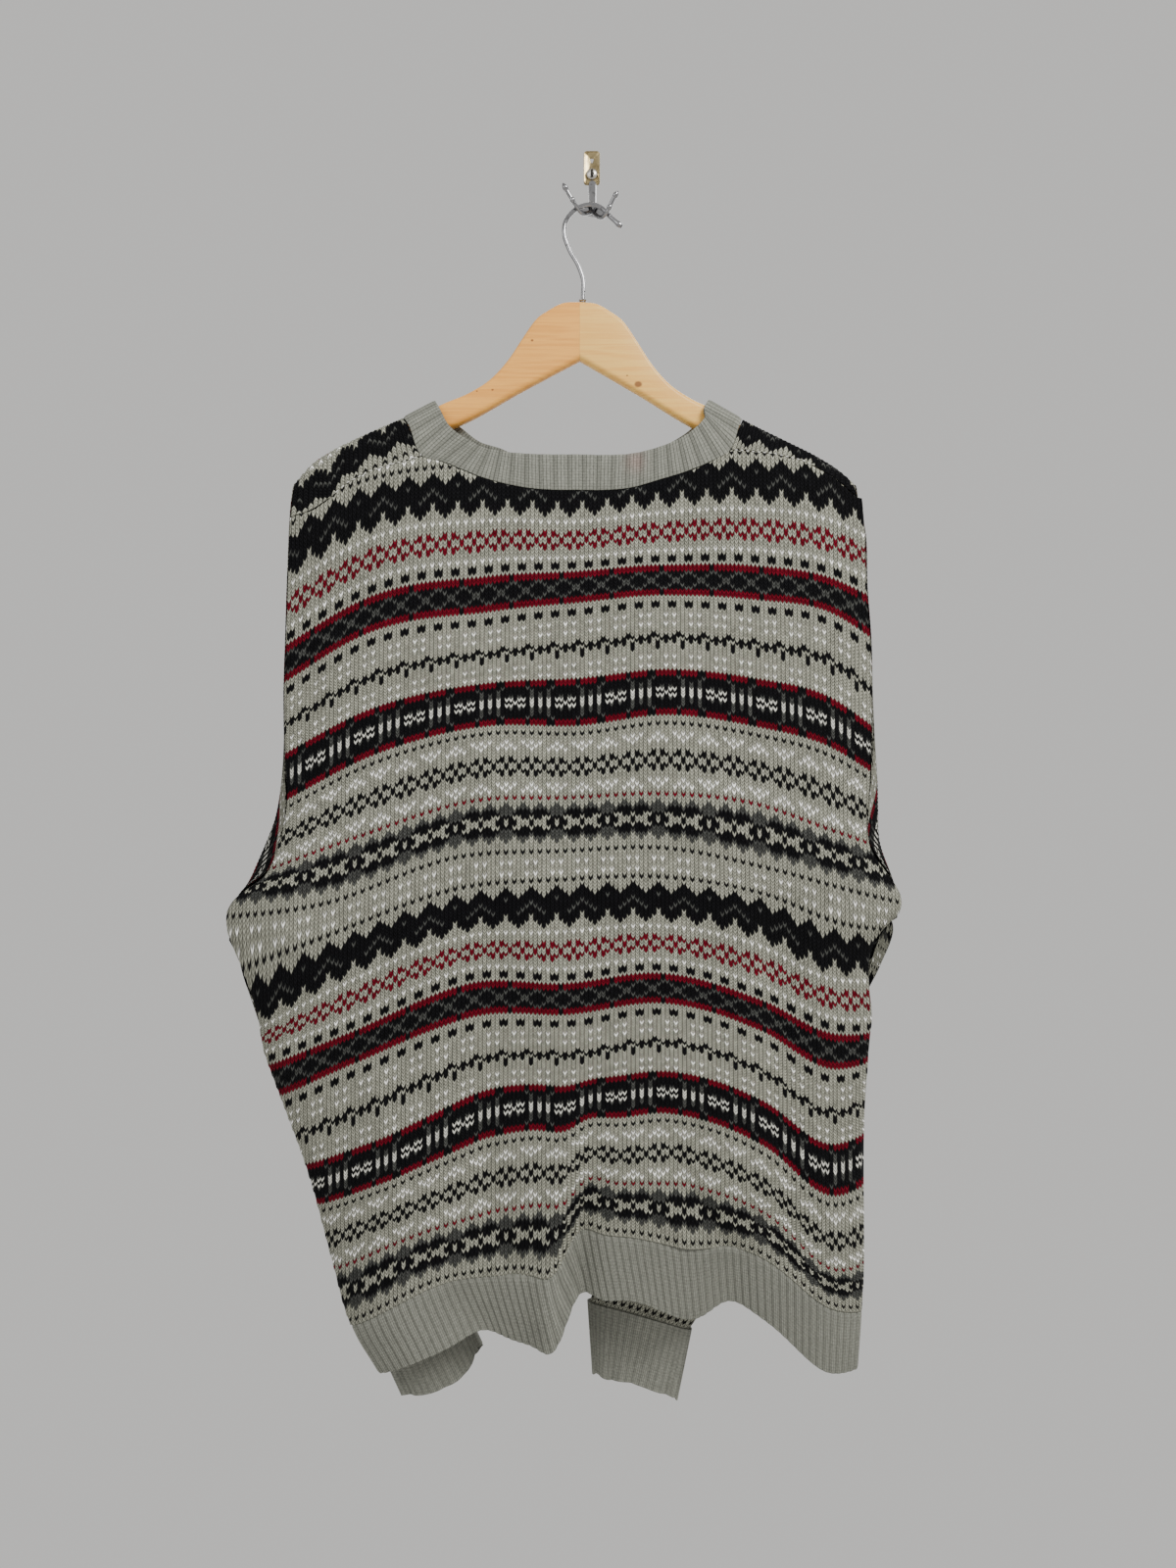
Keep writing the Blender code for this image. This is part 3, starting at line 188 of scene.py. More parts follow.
# What differs between the two sides of the garment. Columns: x from the side to the front edge.
# Over and free x: where the neck's edge and the band's free edge cross the hanger. Neckline: sewn x,
# sewn z, free x, free z. Silhouette of the fold: z, x. Sleeve and cuff hem: under x, z, middle x, z,
# top x, z. Sleeve z: where the chart's course SLEEVE_COURSE meets the armhole, with its slope.
LEFT = SimpleNamespace(
    name="left", is_left=True, sign=-1, over_x=-146, free_x=-121, band_depth=19.2,
    front_wale=3, sleeve_wale=5, sleeve_z=-525, sleeve_slope=0.17,
    columns=np.array((-225, -222.5, -216, -201, -181, -161, -142, -125, -104, -78, -50, FRONT_EDGE_LEFT)),
    neckline=(
        (-125, -234, -102, -214.5), (-104, -251, -88, -225), (-78, -267, -69, -231.5),
        (-50, -279, -47, -244), (FRONT_EDGE_LEFT, -283, FRONT_EDGE_LEFT, BAND_TOP),
    ),
    silhouette=(
        (-283, -236), (-356, -237.5), (-447, -239.5), (-522, -249), (-545, -258), (-583, -276),
        (-604, -287),
    ),
    sleeve=(
        (-279, -624, -221, -492, -200, -345), (-276, -642, -219, -540, -178, -430),
        (-268, -666, -210, -598, -158, -520), (-256, -702, -200, -655, -146, -600),
        (-238, -755, -187, -721, -138, -680), (-218, -810, -173, -788, -130, -760),
        (-197, -865, -158, -850, -121, -830), (-173, -920.6, -141, -905, -112, -883.6),
    ),
    cuff_hem=(-149, -973, -113, -963, -88, -936),
)
RIGHT = SimpleNamespace(
    name="right", is_left=False, sign=1, over_x=116, free_x=90, band_depth=22.4,
    front_wale=40, sleeve_wale=2, sleeve_z=-503.5, sleeve_slope=0.20,
    columns=np.array((201, 198.5, 192, 178, 156, 134, 112, 98, 80, 55, 28, FRONT_EDGE_RIGHT)),
    neckline=(
        (98, -240, 77, -215.5), (80, -255, 63, -225), (55, -270, 46, -232), (28, -280, 26, -245),
        (FRONT_EDGE_RIGHT, -283, FRONT_EDGE_RIGHT, BAND_TOP),
    ),
    silhouette=(
        (-275, 210), (-356, 215), (-416, 218.5), (-492, 223.5), (-552, 229), (-571, 238), (-588, 244),
    ),
    sleeve=(
        (238, -608, 196, -480, 180, -350), (228, -635, 190, -535, 150, -430),
        (213, -665, 169, -595, 122, -520), (195, -705, 148, -655, 98, -600),
        (169, -760, 124, -722, 76, -680), (141, -815, 98, -790, 54, -760),
        (112, -868, 72, -852, 31, -830), (77, -922.6, 38, -910, -2, -900.6),
    ),
    cuff_hem=(66, -977, 28, -960, 2, -958),
)
SIDES = (LEFT, RIGHT)

PLATE_WIDTH, PLATE_HEIGHT, PLATE_THICKNESS, PLATE_CORNER = 13.0, 26.6, 1.6, 2.2
PLATE_HOLE_Z, PLATE_HOLE_RADIUS, SCREW_Z, SCREW_RADIUS = 6.1, 2.0, -5.4, 4.5
# Paths of the hook: x, depth, z
SHANK_PATH = ((0.3, 3.6, -14.5), (0.3, 6.5, -19), (0.4, 12, -28), (0.5, 19, -38), (0.5, 24.2, -45))
LEFT_PRONG = (
    (0, 23.5, -45.5), (-4, 27.5, -49), (-8, 31.3, -50.5), (-12, 35.6, -47.3), (-17.5, 38.4, -40),
    (-22.5, 40.5, -32),
)
RIGHT_PRONG = (
    (1, 23.5, -46), (4.5, 27.5, -51.5), (8, 31.4, -53.8), (11.6, 35.7, -51.6), (15.6, 38.4, -44.5),
    (20, 40.7, -38),
)
# A prong, the ball at its end and the ring round it
PRONG_RADIUS, BALL_RADIUS, RING_RADIUS = 1.6, 2.2, 2.2
# The hanger's wire: x, z, and the radii of its rounded tip
WIRE_PATH = (
    (-7.2, -119.5), (-7.2, -101), (-10.5, -91.5), (-17.8, -78.3), (-21.6, -65.4), (-20.6, -57.5),
    (-16.4, -51), (-11, -46.6), (-5, -44.4), (0, -43.9), (5, -45.2), (9.5, -48.4), (13.2, -52.4),
    (18, -56.8), (23.3, -61.5),
)
WIRE_RADIUS, COLLAR_Z = 1.75, -119.0
WIRE_TIP_RADII = (1.8, 1.95, 2.1, 2.2, 2.2, 2.1, 1.9, 1.5, 0.7)


def both_ways(courses, middle=""):
    """A figure that runs back from its middle course."""
    words = courses.split()
    return words + middle.split() + words[::-1]


# The knitting chart, course by course from the top. Each word is the least run of stitches that
# repeats across. . grey, K black, C charcoal, R red, W white, L a paler grey
REPEAT = 12
CHART = (
    "....K. ...KKK K.KKKKK.KKKK KKKKCKKKKKKK KKKKKKKKKKCK KKKKKKKKKCKC CKKKKKKKCKKK KCKKKKKCKKKK".split()
    + "KKKK.K KKKK.K KKK... .K.... . W. . .".split()
    + both_ways(".R.R.. RR. ..R") + ". . W. . K..K K..K .".split()
    + both_ways("RRRRRKRRRRRR RRRRRKRRRRRR CKKKKC KCK KKCCKK") + ". . K..K K..K . .".split()
    + "W.W... . . W.W... . . ...K.. K.KKK. KKK..K K. ....K. ....K. . . W.W... . . W.W... .".split()
    + both_ways(
        "RRKKRRRRRKRR RRKKRRRRRKRR KKKCKK KKCKKKKKKKCK CKCKKKKKKKCK CKCKKCKCKKCK LKLKLLKLLKLK",
        "LKLKKKLKKKLK",
    )
    + ". . K. . . W...W...W.W. ...W.W ..W.W.W...W. . .".split()
    + both_ways("...K.K K.K .K.") + ". . ..W.W.W...W. ...W.W W...W...W.W. . R. .".split()
    + both_ways("C... CC.C KKCCCCCKKKCK KKKCCCKKKKKK K..KKK..KK.K ..KK.KK...K.")
    + ". . K. . . ...W.W . . ...W.W . K. .".split()
)
CHART_LETTERS = np.array([list((word * REPEAT)[:REPEAT]) for word in CHART])
YARNS = {
    ".": (0.326, 0.328, 0.270),
    "K": (0.006, 0.006, 0.007),
    "C": (0.060, 0.062, 0.058),
    "R": (0.135, 0.003, 0.012),
    "W": (0.980, 0.980, 0.930),
    "L": (0.620, 0.620, 0.560),
}

# Ribbing is 2 by 2, so a rib and its furrow are four wales. Its faces are RIB_FACE long, its
# furrows lie RIB_BASE under the cloth's surface and its inner side RIB_WALL.
RIB_YARN, RIB_WALES = (0.215, 0.220, 0.190), 4
RIB_FACE, RIB_BASE, RIB_WALL, RIB_SMOOTHING = 2.4, 0.15, 1.9, 5
STAIN_YARN, STAIN_SPREAD = (0.045, -0.01, -0.005), (7, 8)


# ---------------------------------------------------------------- curves

def hermite(xs, values, x):
    """Smooth curves through values[i] at xs[i], read at x, or each column at its own x."""
    xs, values = np.asarray(xs, float), np.asarray(values, float)
    slopes = np.gradient(values, xs, axis=0)
    x = np.clip(np.asarray(x, float), xs[0], xs[-1])
    i = np.clip(np.searchsorted(xs, x, side="right") - 1, 0, len(xs) - 2)
    span = xs[i + 1] - xs[i]
    t = (x - xs[i]) / span
    here, after = i, i + 1
    if values.ndim > 1 and values.shape[1:] == x.shape:
        here, after = (i, np.arange(len(x))), (i + 1, np.arange(len(x)))
    elif values.ndim > 1:
        shape = (-1,) + (1,) * (values.ndim - 1)
        t, span = t.reshape(shape), span.reshape(shape)
    return (
        (2 * t**3 - 3 * t**2 + 1) * values[here]
        + (t**3 - 2 * t**2 + t) * span * slopes[here]
        + (3 * t**2 - 2 * t**3) * values[after]
        + (t**3 - t**2) * span * slopes[after]
    )


def smooth(table, x, column=1):
    """One column of a table as a smooth curve over its first column."""
    rows = sorted(table)
    return hermite([row[0] for row in rows], [row[column] for row in rows], x)


def broken(table, x):
    """The second column of a table as straight lines over its first column."""
    rows = sorted(table)
    return np.interp(x, [row[0] for row in rows], [row[1] for row in rows])


def read_across(places, grid, x):
    """A grid of points read at x across its columns, which lie at places."""
    return hermite(places, grid.transpose(1, 0, 2), x).transpose(1, 0, 2)


def read_down(grid, per_row):
    """A grid of points with per_row steps for each step from row to row."""
    where = np.linspace(0, len(grid) - 1, (len(grid) - 1) * per_row + 1)
    return hermite(np.arange(len(grid)), grid, where)


def read_line(x, places, line):
    """Points at x along straight lines between the points of a line, which lie at places."""
    return np.stack([np.interp(x, places, line[:, axis]) for axis in range(3)], axis=-1)


def path_lengths(points, axis=0):
    """Distances along lines of points, from the first of each."""
    steps = np.linalg.norm(np.diff(points, axis=axis), axis=-1)
    start = np.zeros_like(np.take(steps, [0], axis=axis))
    return np.concatenate([start, np.cumsum(steps, axis=axis)], axis=axis)


def path_points(path, count):
    """A smooth path through points given as x, depth and z, at even steps."""
    path = np.array([(x, -depth, z) for x, depth, z in path], float)
    along = path_lengths(path)
    return hermite(along, path, np.linspace(0, along[-1], count))


def rounded(half_x, half_y, radius_x, radius_y, turns):
    """Outline of an upright rectangle with round corners, each drawn at the turns, in degrees."""
    points = []
    for quarter, (x, y) in enumerate(((1, 1), (-1, 1), (-1, -1), (1, -1))):
        for turn in turns:
            angle = math.radians(90 * quarter + turn)
            corner = x * (half_x - radius_x), y * (half_y - radius_y)
            points.append((corner[0] + radius_x * math.cos(angle), corner[1] + radius_y * math.sin(angle)))
    return np.array(points)


# ---------------------------------------------------------------- the garment's form

def board_z(out, table):
    """Height of the tilted hanger's edge at a distance from its middle."""
    return smooth(table, np.abs(out)) - HANGER_TILT * out


def cloth_top(x):
    """Height of the fold of the cloth over the hanger."""
    return board_z(np.asarray(x) - HANGER_X, CLOTH_FOLD)


def over_board(x_near, x_top, x_far, start=90):
    """Five points of cloth bent over the hanger's upper edge, from its near side to the wall side."""
    radius = CLOTH_FOLD_RADIUS
    points = []
    for turn in (start, start / 2, 0, -45, -90):
        angle = math.radians(turn)
        down = 1 - math.cos(angle)
        x = x_top + ((x_near if turn > 0 else x_far) - x_top) * down
        points.append((x, -(HANGER_DEPTH + radius * math.sin(angle)), float(cloth_top(x)) - radius * down))
    return points


def section_value(column, course):
    """A column of the SECTIONS as a smooth curve over the courses."""
    place = SECTION_COLUMNS.index(column)
    return hermite(COURSES, [section[place] for section in SECTIONS], course)


def course_of(row):
    """The chart's course at a section number that may lie between two sections."""
    return np.interp(row, np.arange(len(SECTIONS)), COURSES)


def row_of(course):
    return np.interp(course, COURSES, np.arange(len(SECTIONS)))


def top_edge(x):
    """Height of the back's upper edge: the shoulder seams, and the neckline between them."""
    ends = BACK_NECKLINE[0][0], BACK_NECKLINE[-1][0]
    seams = np.where(x < ends[0], broken(SEAM_LEFT, x), broken(SEAM_RIGHT, x))
    return np.where((x < ends[0]) | (x > ends[1]), seams, smooth(BACK_NECKLINE, x))


def top_depth(f):
    """Depth of the back's upper edge."""
    _, depth, edge, turn, *_ = SECTIONS[0]
    return edge + (depth - edge) * side_profile(f, turn)


def yoke_pitch(f):
    """Height of one course above the yoke, which grows where the courses slope."""
    yoke = list(zip(STATIONS, SECTIONS[1][-1]))
    step = 0.02
    rise = smooth(yoke, np.minimum(f + step, 1)) - smooth(yoke, np.maximum(f - step, 0))
    return YOKE_STRETCH * COURSE * np.sqrt(1 + (rise / (2 * step * YOKE_WIDTH)) ** 2)


def course_z(f, course):
    """Height of the courses at fractions f of the width; above the yoke they keep their own pitch."""
    f, course = np.broadcast_arrays(np.asarray(f, float), np.asarray(course, float))
    heights = np.array([smooth(list(zip(STATIONS, section[-1])), f.ravel()) for section in SECTIONS[1:]])
    z = hermite(COURSES[1:], heights, np.maximum(course, YOKE_COURSE).ravel()).reshape(f.shape)
    return z + np.maximum(YOKE_COURSE - course, 0) * yoke_pitch(f)


def side_profile(f, turn):
    """How far the cloth stands out, 0 to 1, from a side seam to the other at fractions f."""
    u = np.abs(2 * np.asarray(f, float) - 1) * turn
    return np.sqrt(np.clip(1 - u**5, 0, 1))


def fold_shift(folds, f, row):
    """How far the folds stand out of the cloth and how far they drop, at f and row."""
    lift = np.zeros(np.broadcast(f, row).shape)
    drop = np.zeros_like(lift)
    for _, from_row, from_f, to_row, to_f, half_width, raise_mm, *pleat in folds:
        step_mm, drop_mm = pleat or (0, 0)
        along = np.clip((row - from_row) / (to_row - from_row), 0, 1)
        strength = np.sin(along * math.pi / 2) if to_row >= HEM else np.sin(along * math.pi)
        across = (f - (from_f + (to_f - from_f) * along)) / half_width
        bell = np.exp(-0.5 * across**2)
        lift = lift + strength * (raise_mm * bell - step_mm * across * bell * STEP_PEAK)
        drop = drop - strength * drop_mm * across * bell * STEP_PEAK
    return lift, drop


def ripple(x, z):
    """Slow unevenness of hanging cloth."""
    return RIPPLE * (
        0.5 * np.sin(x / 31 + 1.3 * np.sin(z / 90)) * np.sin(z / 67 + 0.7)
        + 0.3 * np.sin(x / 13.0 + z / 41 + 1) + 0.2 * np.sin(z / 11 + x / 57 + 2)
    )


def back_surface(x, course, shown=True):
    """Outer points of the back at these x and courses; x is held to the side seams."""
    course = np.minimum(course, HEM_COURSE)
    low, high = section_value("x_left", course), section_value("x_right", course)
    inside = np.clip(x, low, high)
    f = (inside - low) / (high - low)
    yoke, top = course_z(f, YOKE_COURSE), top_edge(inside)
    z = course_z(f, course)
    z = np.where(course < YOKE_COURSE, np.minimum(z, top), z)
    above = np.clip((z - yoke) / (top - yoke), 0, 1)
    row = np.where(course < YOKE_COURSE, 1 - above, row_of(course))
    edge, depth, turn = (section_value(key, course_of(row)) for key in ("edge", "depth", "turn"))
    lift, drop = fold_shift(BACK_FOLDS, f, row)
    fade = side_profile(f, 1.0)
    if shown:
        soft, _ = fold_shift(SOFT_CREASES, f, row)
        lift = lift + soft + ripple(inside, z) * np.clip(row / 2, 0, 1) * np.clip(RIB_TOP - row, 0, 1)
    seam = np.where(row >= UNDERARM, SEAM_GAP / 2, 0)
    y = -(edge + seam + (depth - edge) * side_profile(f, np.minimum(1.0, turn)) + lift * fade)
    rises = sum(rise * np.exp(-0.5 * ((f - place) / half) ** 2) for place, half, rise in HEM_RISES)
    return np.stack([inside, y, z - drop * fade + np.clip(row - RIB_TOP, 0, 1) * rises], axis=-1)


def back_at(f, row):
    """Outer points of the back at fractions of its width on one section row."""
    f = np.asarray(f, float)
    course = float(course_of(row))
    low, high = float(section_value("x_left", course)), float(section_value("x_right", course))
    if row == 0:
        x = low + (high - low) * f
        return np.stack([x, -top_depth(f), top_edge(x)], axis=-1)
    if row < 1:
        upper, lower = back_at(f, 0), back_at(f, 1)
        return upper + (lower - upper) * row
    return back_surface(low + (high - low) * f, np.full_like(f, course), False)


def front_points(columns, row, side):
    """Outer points of a front on one section row; its columns keep their shares of the width."""
    course = float(course_of(row))
    keys = ("inset", "edge", "x_left", "x_right")
    inset, edge, left, right = (float(section_value(key, course)) for key in keys)
    inset = max(0.0, inset)
    seam_x = left + inset if side.is_left else right - inset
    share = (columns - columns[0]) / (columns[-1] - columns[0])
    x = seam_x + (columns[-1] - seam_x) * share
    f = (x - left) / (right - left)
    edge = edge - SEAM_GAP / 2
    edge = edge + (FRONT_ARMHOLE_DEPTH - edge) * min(1.0, inset / ARMHOLE_INSET)
    inwards = (x - seam_x) / (0.5 * (right - left)) * -side.sign
    bulge = side_profile(np.clip(inwards, 0, 1) / 2, 1.0)
    lift, _ = fold_shift(FRONT_FOLDS, f, row)
    y = -(edge + (FRONT_DEPTH - edge) * bulge) + lift * bulge
    z = course_z(f, course) + max(row - FRONT_RISE_ROW, 0) * FRONT_RISE * bulge
    return np.stack([x, y, z], axis=-1)


def rows_between(first, last, per_section):
    count = int(round((last - first) * per_section))
    return [first + (last - first) * i / count for i in range(count + 1)]


def front_wrap(side):
    """A front's first rows, from the shoulder seam over the hanger, out to its neck column."""
    seams = (BACK_TOP if side.is_left else BACK_TOP[::-1])[: NECK_COLUMN + 1] + (0, 0, 1.1 * SEAM_GAP)
    tops = (side.columns[: NECK_COLUMN + 1] + seams[:, 0]) / 2
    tops[NECK_COLUMN] = side.over_x
    bend, clear, slack = 0.3, 2, 1.8
    strips = []
    for x, top, seam in zip(side.columns, tops, seams):
        start = 90
        above = float(cloth_top(top)) - seam[2]
        if above <= CLOTH_FOLD_RADIUS + clear:
            start = math.degrees(math.acos(1 - (above - slack) / CLOTH_FOLD_RADIUS))
        near_x, far_x = top + (seam[0] - top) * bend, top + (x - top) * bend
        strips.append([tuple(seam)] + over_board(near_x, top, far_x, start))
    return [list(row) for row in zip(*strips)]


def front_grid(side):
    """Grid of a front's points: over the hanger to the neck column, then right across."""
    missing = len(side.columns) - NECK_COLUMN - 1
    grid = [row + [(0, 0, 0)] * missing for row in front_wrap(side)]
    grid[FIRST_FULL][NECK_COLUMN + 1 :] = [(x, -FRONT_DEPTH, z) for x, z, _, _ in side.neckline]
    least_drop = 9
    for row in rows_between(1, RIB_TOP, 2):
        points = front_points(side.columns, row, side)
        if row == 1:
            points[:, 2] = np.minimum(points[:, 2], np.array(grid[FIRST_FULL])[:, 2] - least_drop)
        grid.append(points.tolist())
    return np.array(grid)


def quadratic(line, v):
    """Points x, z of the curve through a line's three points, at v from 0 to 1."""
    v = np.asarray(v, float)[:, None]
    weights = (2 * (v - 0.5) * (v - 1), 4 * v * (1 - v), 2 * v * (v - 0.5))
    return sum(w * np.array(p, float) for w, p in zip(weights, (line[0:2], line[2:4], line[4:6])))


def swell(v):
    """Half thickness of a flattened sleeve across it, 0 to 1."""
    return np.clip(1 - np.abs(2 * np.asarray(v) - 1) ** 4, 0.12, 1) ** 0.5


def flat_ring(line):
    """Points round a flattened sleeve: the wall's layer from the underarm up, the top, and back."""
    again = RING_STEPS[-2::-1]
    spots = quadratic(line, RING_STEPS + RING_EDGE + again)
    sides = np.concatenate([swell(RING_STEPS), RING_EDGE_SIDES, -swell(again)])
    ring = np.stack([spots[:, 0], -SLEEVE_DEPTH + SLEEVE_HALF * sides, spots[:, 1]], axis=-1)
    return np.concatenate([[(line[0], -SLEEVE_DEPTH, line[1])], ring])


def armhole_ring(side):
    """Points round the sleeve's seam: underarm, up the back, over the shoulder, down the front."""
    out = np.array((2 * side.sign * SEAM_GAP, 0, 0))
    f = [0.0 if side.is_left else 1.0]
    under = back_at(f, UNDERARM)[0] + out + (0, SEAM_GAP / 2, SEAM_GAP)
    back_edge = [back_at(f, row)[0] + out for row in RING_ROWS]
    front_rows = [FIRST_FULL + 1 + int(2 * (row - 1)) for row in RING_ROWS[-2::-1]]
    front_edge = [side.grid[row][0] + out for row in list(range(1, FIRST_FULL + 1)) + front_rows]
    front_edge[-1] = front_edge[-1] + out
    return np.array([under] + back_edge + front_edge)


def fold_ring(first, side, turn):
    """The armhole's ring turned round the fold's axis, with its outer layer wide and its inner tight."""
    angle = math.radians(turn)
    low, high = side.silhouette[-1][0], side.silhouette[0][0]
    share = np.array(FOLD_SHARES)
    z = low + (high - low) * (first[:, 2] - first[0, 2]) / (first[:, 2].max() - first[0, 2])
    reach = FOLD_INNER_RADIUS + FOLD_WIDTH * share
    radius = FOLD_INNER_RADIUS + (FOLD_OUTER_RADIUS - FOLD_INNER_RADIUS) * share
    axis_x = smooth(side.silhouette, z) - side.sign * (FOLD_INNER_RADIUS + FOLD_WIDTH)
    x = axis_x + side.sign * reach * math.cos(angle)
    return np.stack([x, -FOLD_AXIS_DEPTH + radius * math.sin(angle), z], axis=-1)


# ---------------------------------------------------------------- meshes

def grid_faces(rows, columns, closed=False, flip=False):
    """Quads over a grid of points, as an array."""
    r, c = np.meshgrid(np.arange(rows - 1), np.arange(columns if closed else columns - 1), indexing="ij")
    upper, lower, after = r * columns, (r + 1) * columns, (c + 1) % columns
    quads = np.stack([upper + c, lower + c, lower + after, upper + after], axis=-1).reshape(-1, 4)
    return quads[:, ::-1] if flip else quads


def capped_faces(rows, sides, flip=False):
    """Faces of a closed tube of rings, with a cap at each end."""
    start, end = list(range(sides)), list(range((rows - 1) * sides, rows * sides))
    caps = [start[::-1], end] if flip else [start, end[::-1]]
    return grid_faces(rows, sides, True, flip).tolist() + caps


def add_mesh(name, points, faces, finish, maps=(), colours=None, angle=180):
    """A mesh object from points in millimetres. maps are (name, uv of each face's corners)."""
    mesh = bpy.data.meshes.new(name)
    points = (np.asarray(points, float) * MM).tolist()
    mesh.from_pydata(points, [], faces.tolist() if isinstance(faces, np.ndarray) else faces)
    for label, uv in maps:
        layer = mesh.uv_layers.new(name=label)
        layer.data.foreach_set("uv", np.asarray(uv, np.float32).ravel())
    if colours is not None:
        layer = mesh.color_attributes.new("yarn", "FLOAT_COLOR", "CORNER")
        four = np.concatenate([colours, np.ones((len(colours), 1))], axis=1)
        layer.data.foreach_set("color", np.repeat(four, 4, axis=0).astype(np.float32).ravel())
    mesh.materials.append(finish)
    mesh.validate()
    mesh.shade_smooth()
    if angle < 180:
        mesh.set_sharp_from_angle(angle=math.radians(angle))
    made = bpy.data.objects.new(name, mesh)
    bpy.context.scene.collection.objects.link(made)
    return made


def place(piece, nodes, slot):
    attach(piece, "root")
    if nodes:
        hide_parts(*nodes)
    return piece


def joined(*parts):
    """Several shapes, each points and faces, as one."""
    points, faces = [], []
    for some_points, some_faces in parts:
        start = len(points)
        points += [tuple(point) for point in some_points]
        faces += [tuple(i + start for i in face) for face in some_faces]
    return points, faces


def turned(profile, centre, sides=40):
    """A shape turned round an axis along Y, from a profile of radii and y."""
    angles = [2 * math.pi * k / sides for k in range(sides)]
    ring = np.array([(math.cos(angle), 0, math.sin(angle)) for angle in angles])
    points = np.concatenate([np.array(centre) + (0, y, 0) + radius * ring for radius, y in profile])
    return points, capped_faces(len(profile), sides)


def tube(centres, radii, sides=20):
    """A round tube along a line of centres."""
    centres = np.asarray(centres, float)
    tangents = np.gradient(centres, axis=0)
    tangents /= np.linalg.norm(tangents, axis=1)[:, None]
    side = np.cross(tangents[0], (0.1, 1, 0.2))
    points = []
    for centre, tangent, radius in zip(centres, tangents, radii):
        side = side - tangent * np.dot(side, tangent)
        side /= np.linalg.norm(side)
        other = np.cross(tangent, side)
        for k in range(sides):
            angle = 2 * math.pi * k / sides
            points.append(centre + radius * (math.cos(angle) * side + math.sin(angle) * other))
    return points, capped_faces(len(centres), sides, True)


# ---------------------------------------------------------------- stitches

def stitch_faces(points, first_wale, first_course, flip):
    """Faces, colours and both maps of stitches on a grid: two columns a stitch, one row a course."""
    rows, columns = points.shape[:2]
    faces = grid_faces(rows, columns, flip=flip)
    r, c = np.divmod(np.arange(len(faces)), columns - 1)
    letters = CHART_LETTERS[(first_course + r) % len(CHART), (first_wale + c // 2) % REPEAT]
    most_wales = 997
    stitch = r * most_wales + c // 2
    noise = RNG.normal(0, 1, int(stitch.max()) + 1)[stitch]
    leg = RNG.normal(0, 1, len(faces))
    uneven = 1 + STITCH_UNEVENNESS * noise + LEG_UNEVENNESS * leg
    colours = np.array([YARNS[letter] for letter in letters]) * uneven[:, None]
    corner = np.array(((0, 0), (0, 1), (1, 1), (1, 0)), float)[:: -1 if flip else 1]
    u, v = c[:, None] + corner[:, 0], r[:, None] + corner[:, 1]
    chart_map = np.stack([first_wale + u / 2, first_course + v], axis=-1)
    flat_map = np.stack([0.01 + 0.98 * u / (columns - 1), 0.99 - 0.98 * v / (rows - 1)], axis=-1)
    corners = points.reshape(-1, 3)[faces]
    crossed = np.cross(corners[:, 2] - corners[:, 0], corners[:, 3] - corners[:, 1])
    keep = np.linalg.norm(crossed, axis=1) / 2 > LEAST_FACE
    maps = (("OFBake", flat_map[keep].reshape(-1, 2)), ("stitch", chart_map[keep].reshape(-1, 2)))
    return faces[keep], colours[keep], maps


def raised_wales(points, flip):
    """Each wale stands a little proud of the furrows beside it."""
    across, down = np.gradient(points, axis=1), np.gradient(points, axis=0)
    normals = np.cross(down, across) * (-1 if flip else 1)
    length = np.linalg.norm(normals, axis=2)[:, :, None]
    normals = np.where(length > 0.05, normals / np.maximum(length, 1e-6), 0)
    lift = np.where(np.arange(points.shape[1]) % 2 == 1, WALE_RISE, -FURROW_SINK)
    return points + normals * lift[None, :, None]


def knit(name, points, first_wale, first_course, flip):
    """A piece of stitches on a grid of points, half a wale and a course apart."""
    points = raised_wales(points, flip)
    faces, colours, maps = stitch_faces(points, first_wale, first_course, flip)
    used, numbers = np.unique(faces, return_inverse=True)
    return add_mesh(name, points.reshape(-1, 3)[used], numbers.reshape(faces.shape), KNIT, maps, colours)


def leg_shift(columns):
    """Wale middles hang lower than wale edges, so each stitch is a V."""
    return np.where(np.arange(columns) % 2 == 1, 0.5, -0.5)


def knit_surface(name, surface, courses, first_wale, flip):
    """Stitches on a dense surface: surface[i, j] at half wale j lies on course courses[i, j]."""
    first = math.floor(courses.min())
    numbers = np.arange(first, math.ceil(courses.max()) + 1)
    lines = [
        read_line(numbers + shift, np.maximum.accumulate(courses[:, j]), surface[:, j])
        for j, shift in enumerate(leg_shift(surface.shape[1]))
    ]
    return knit(name, np.stack(lines, axis=1), first_wale, first, flip)


# ---------------------------------------------------------------- materials

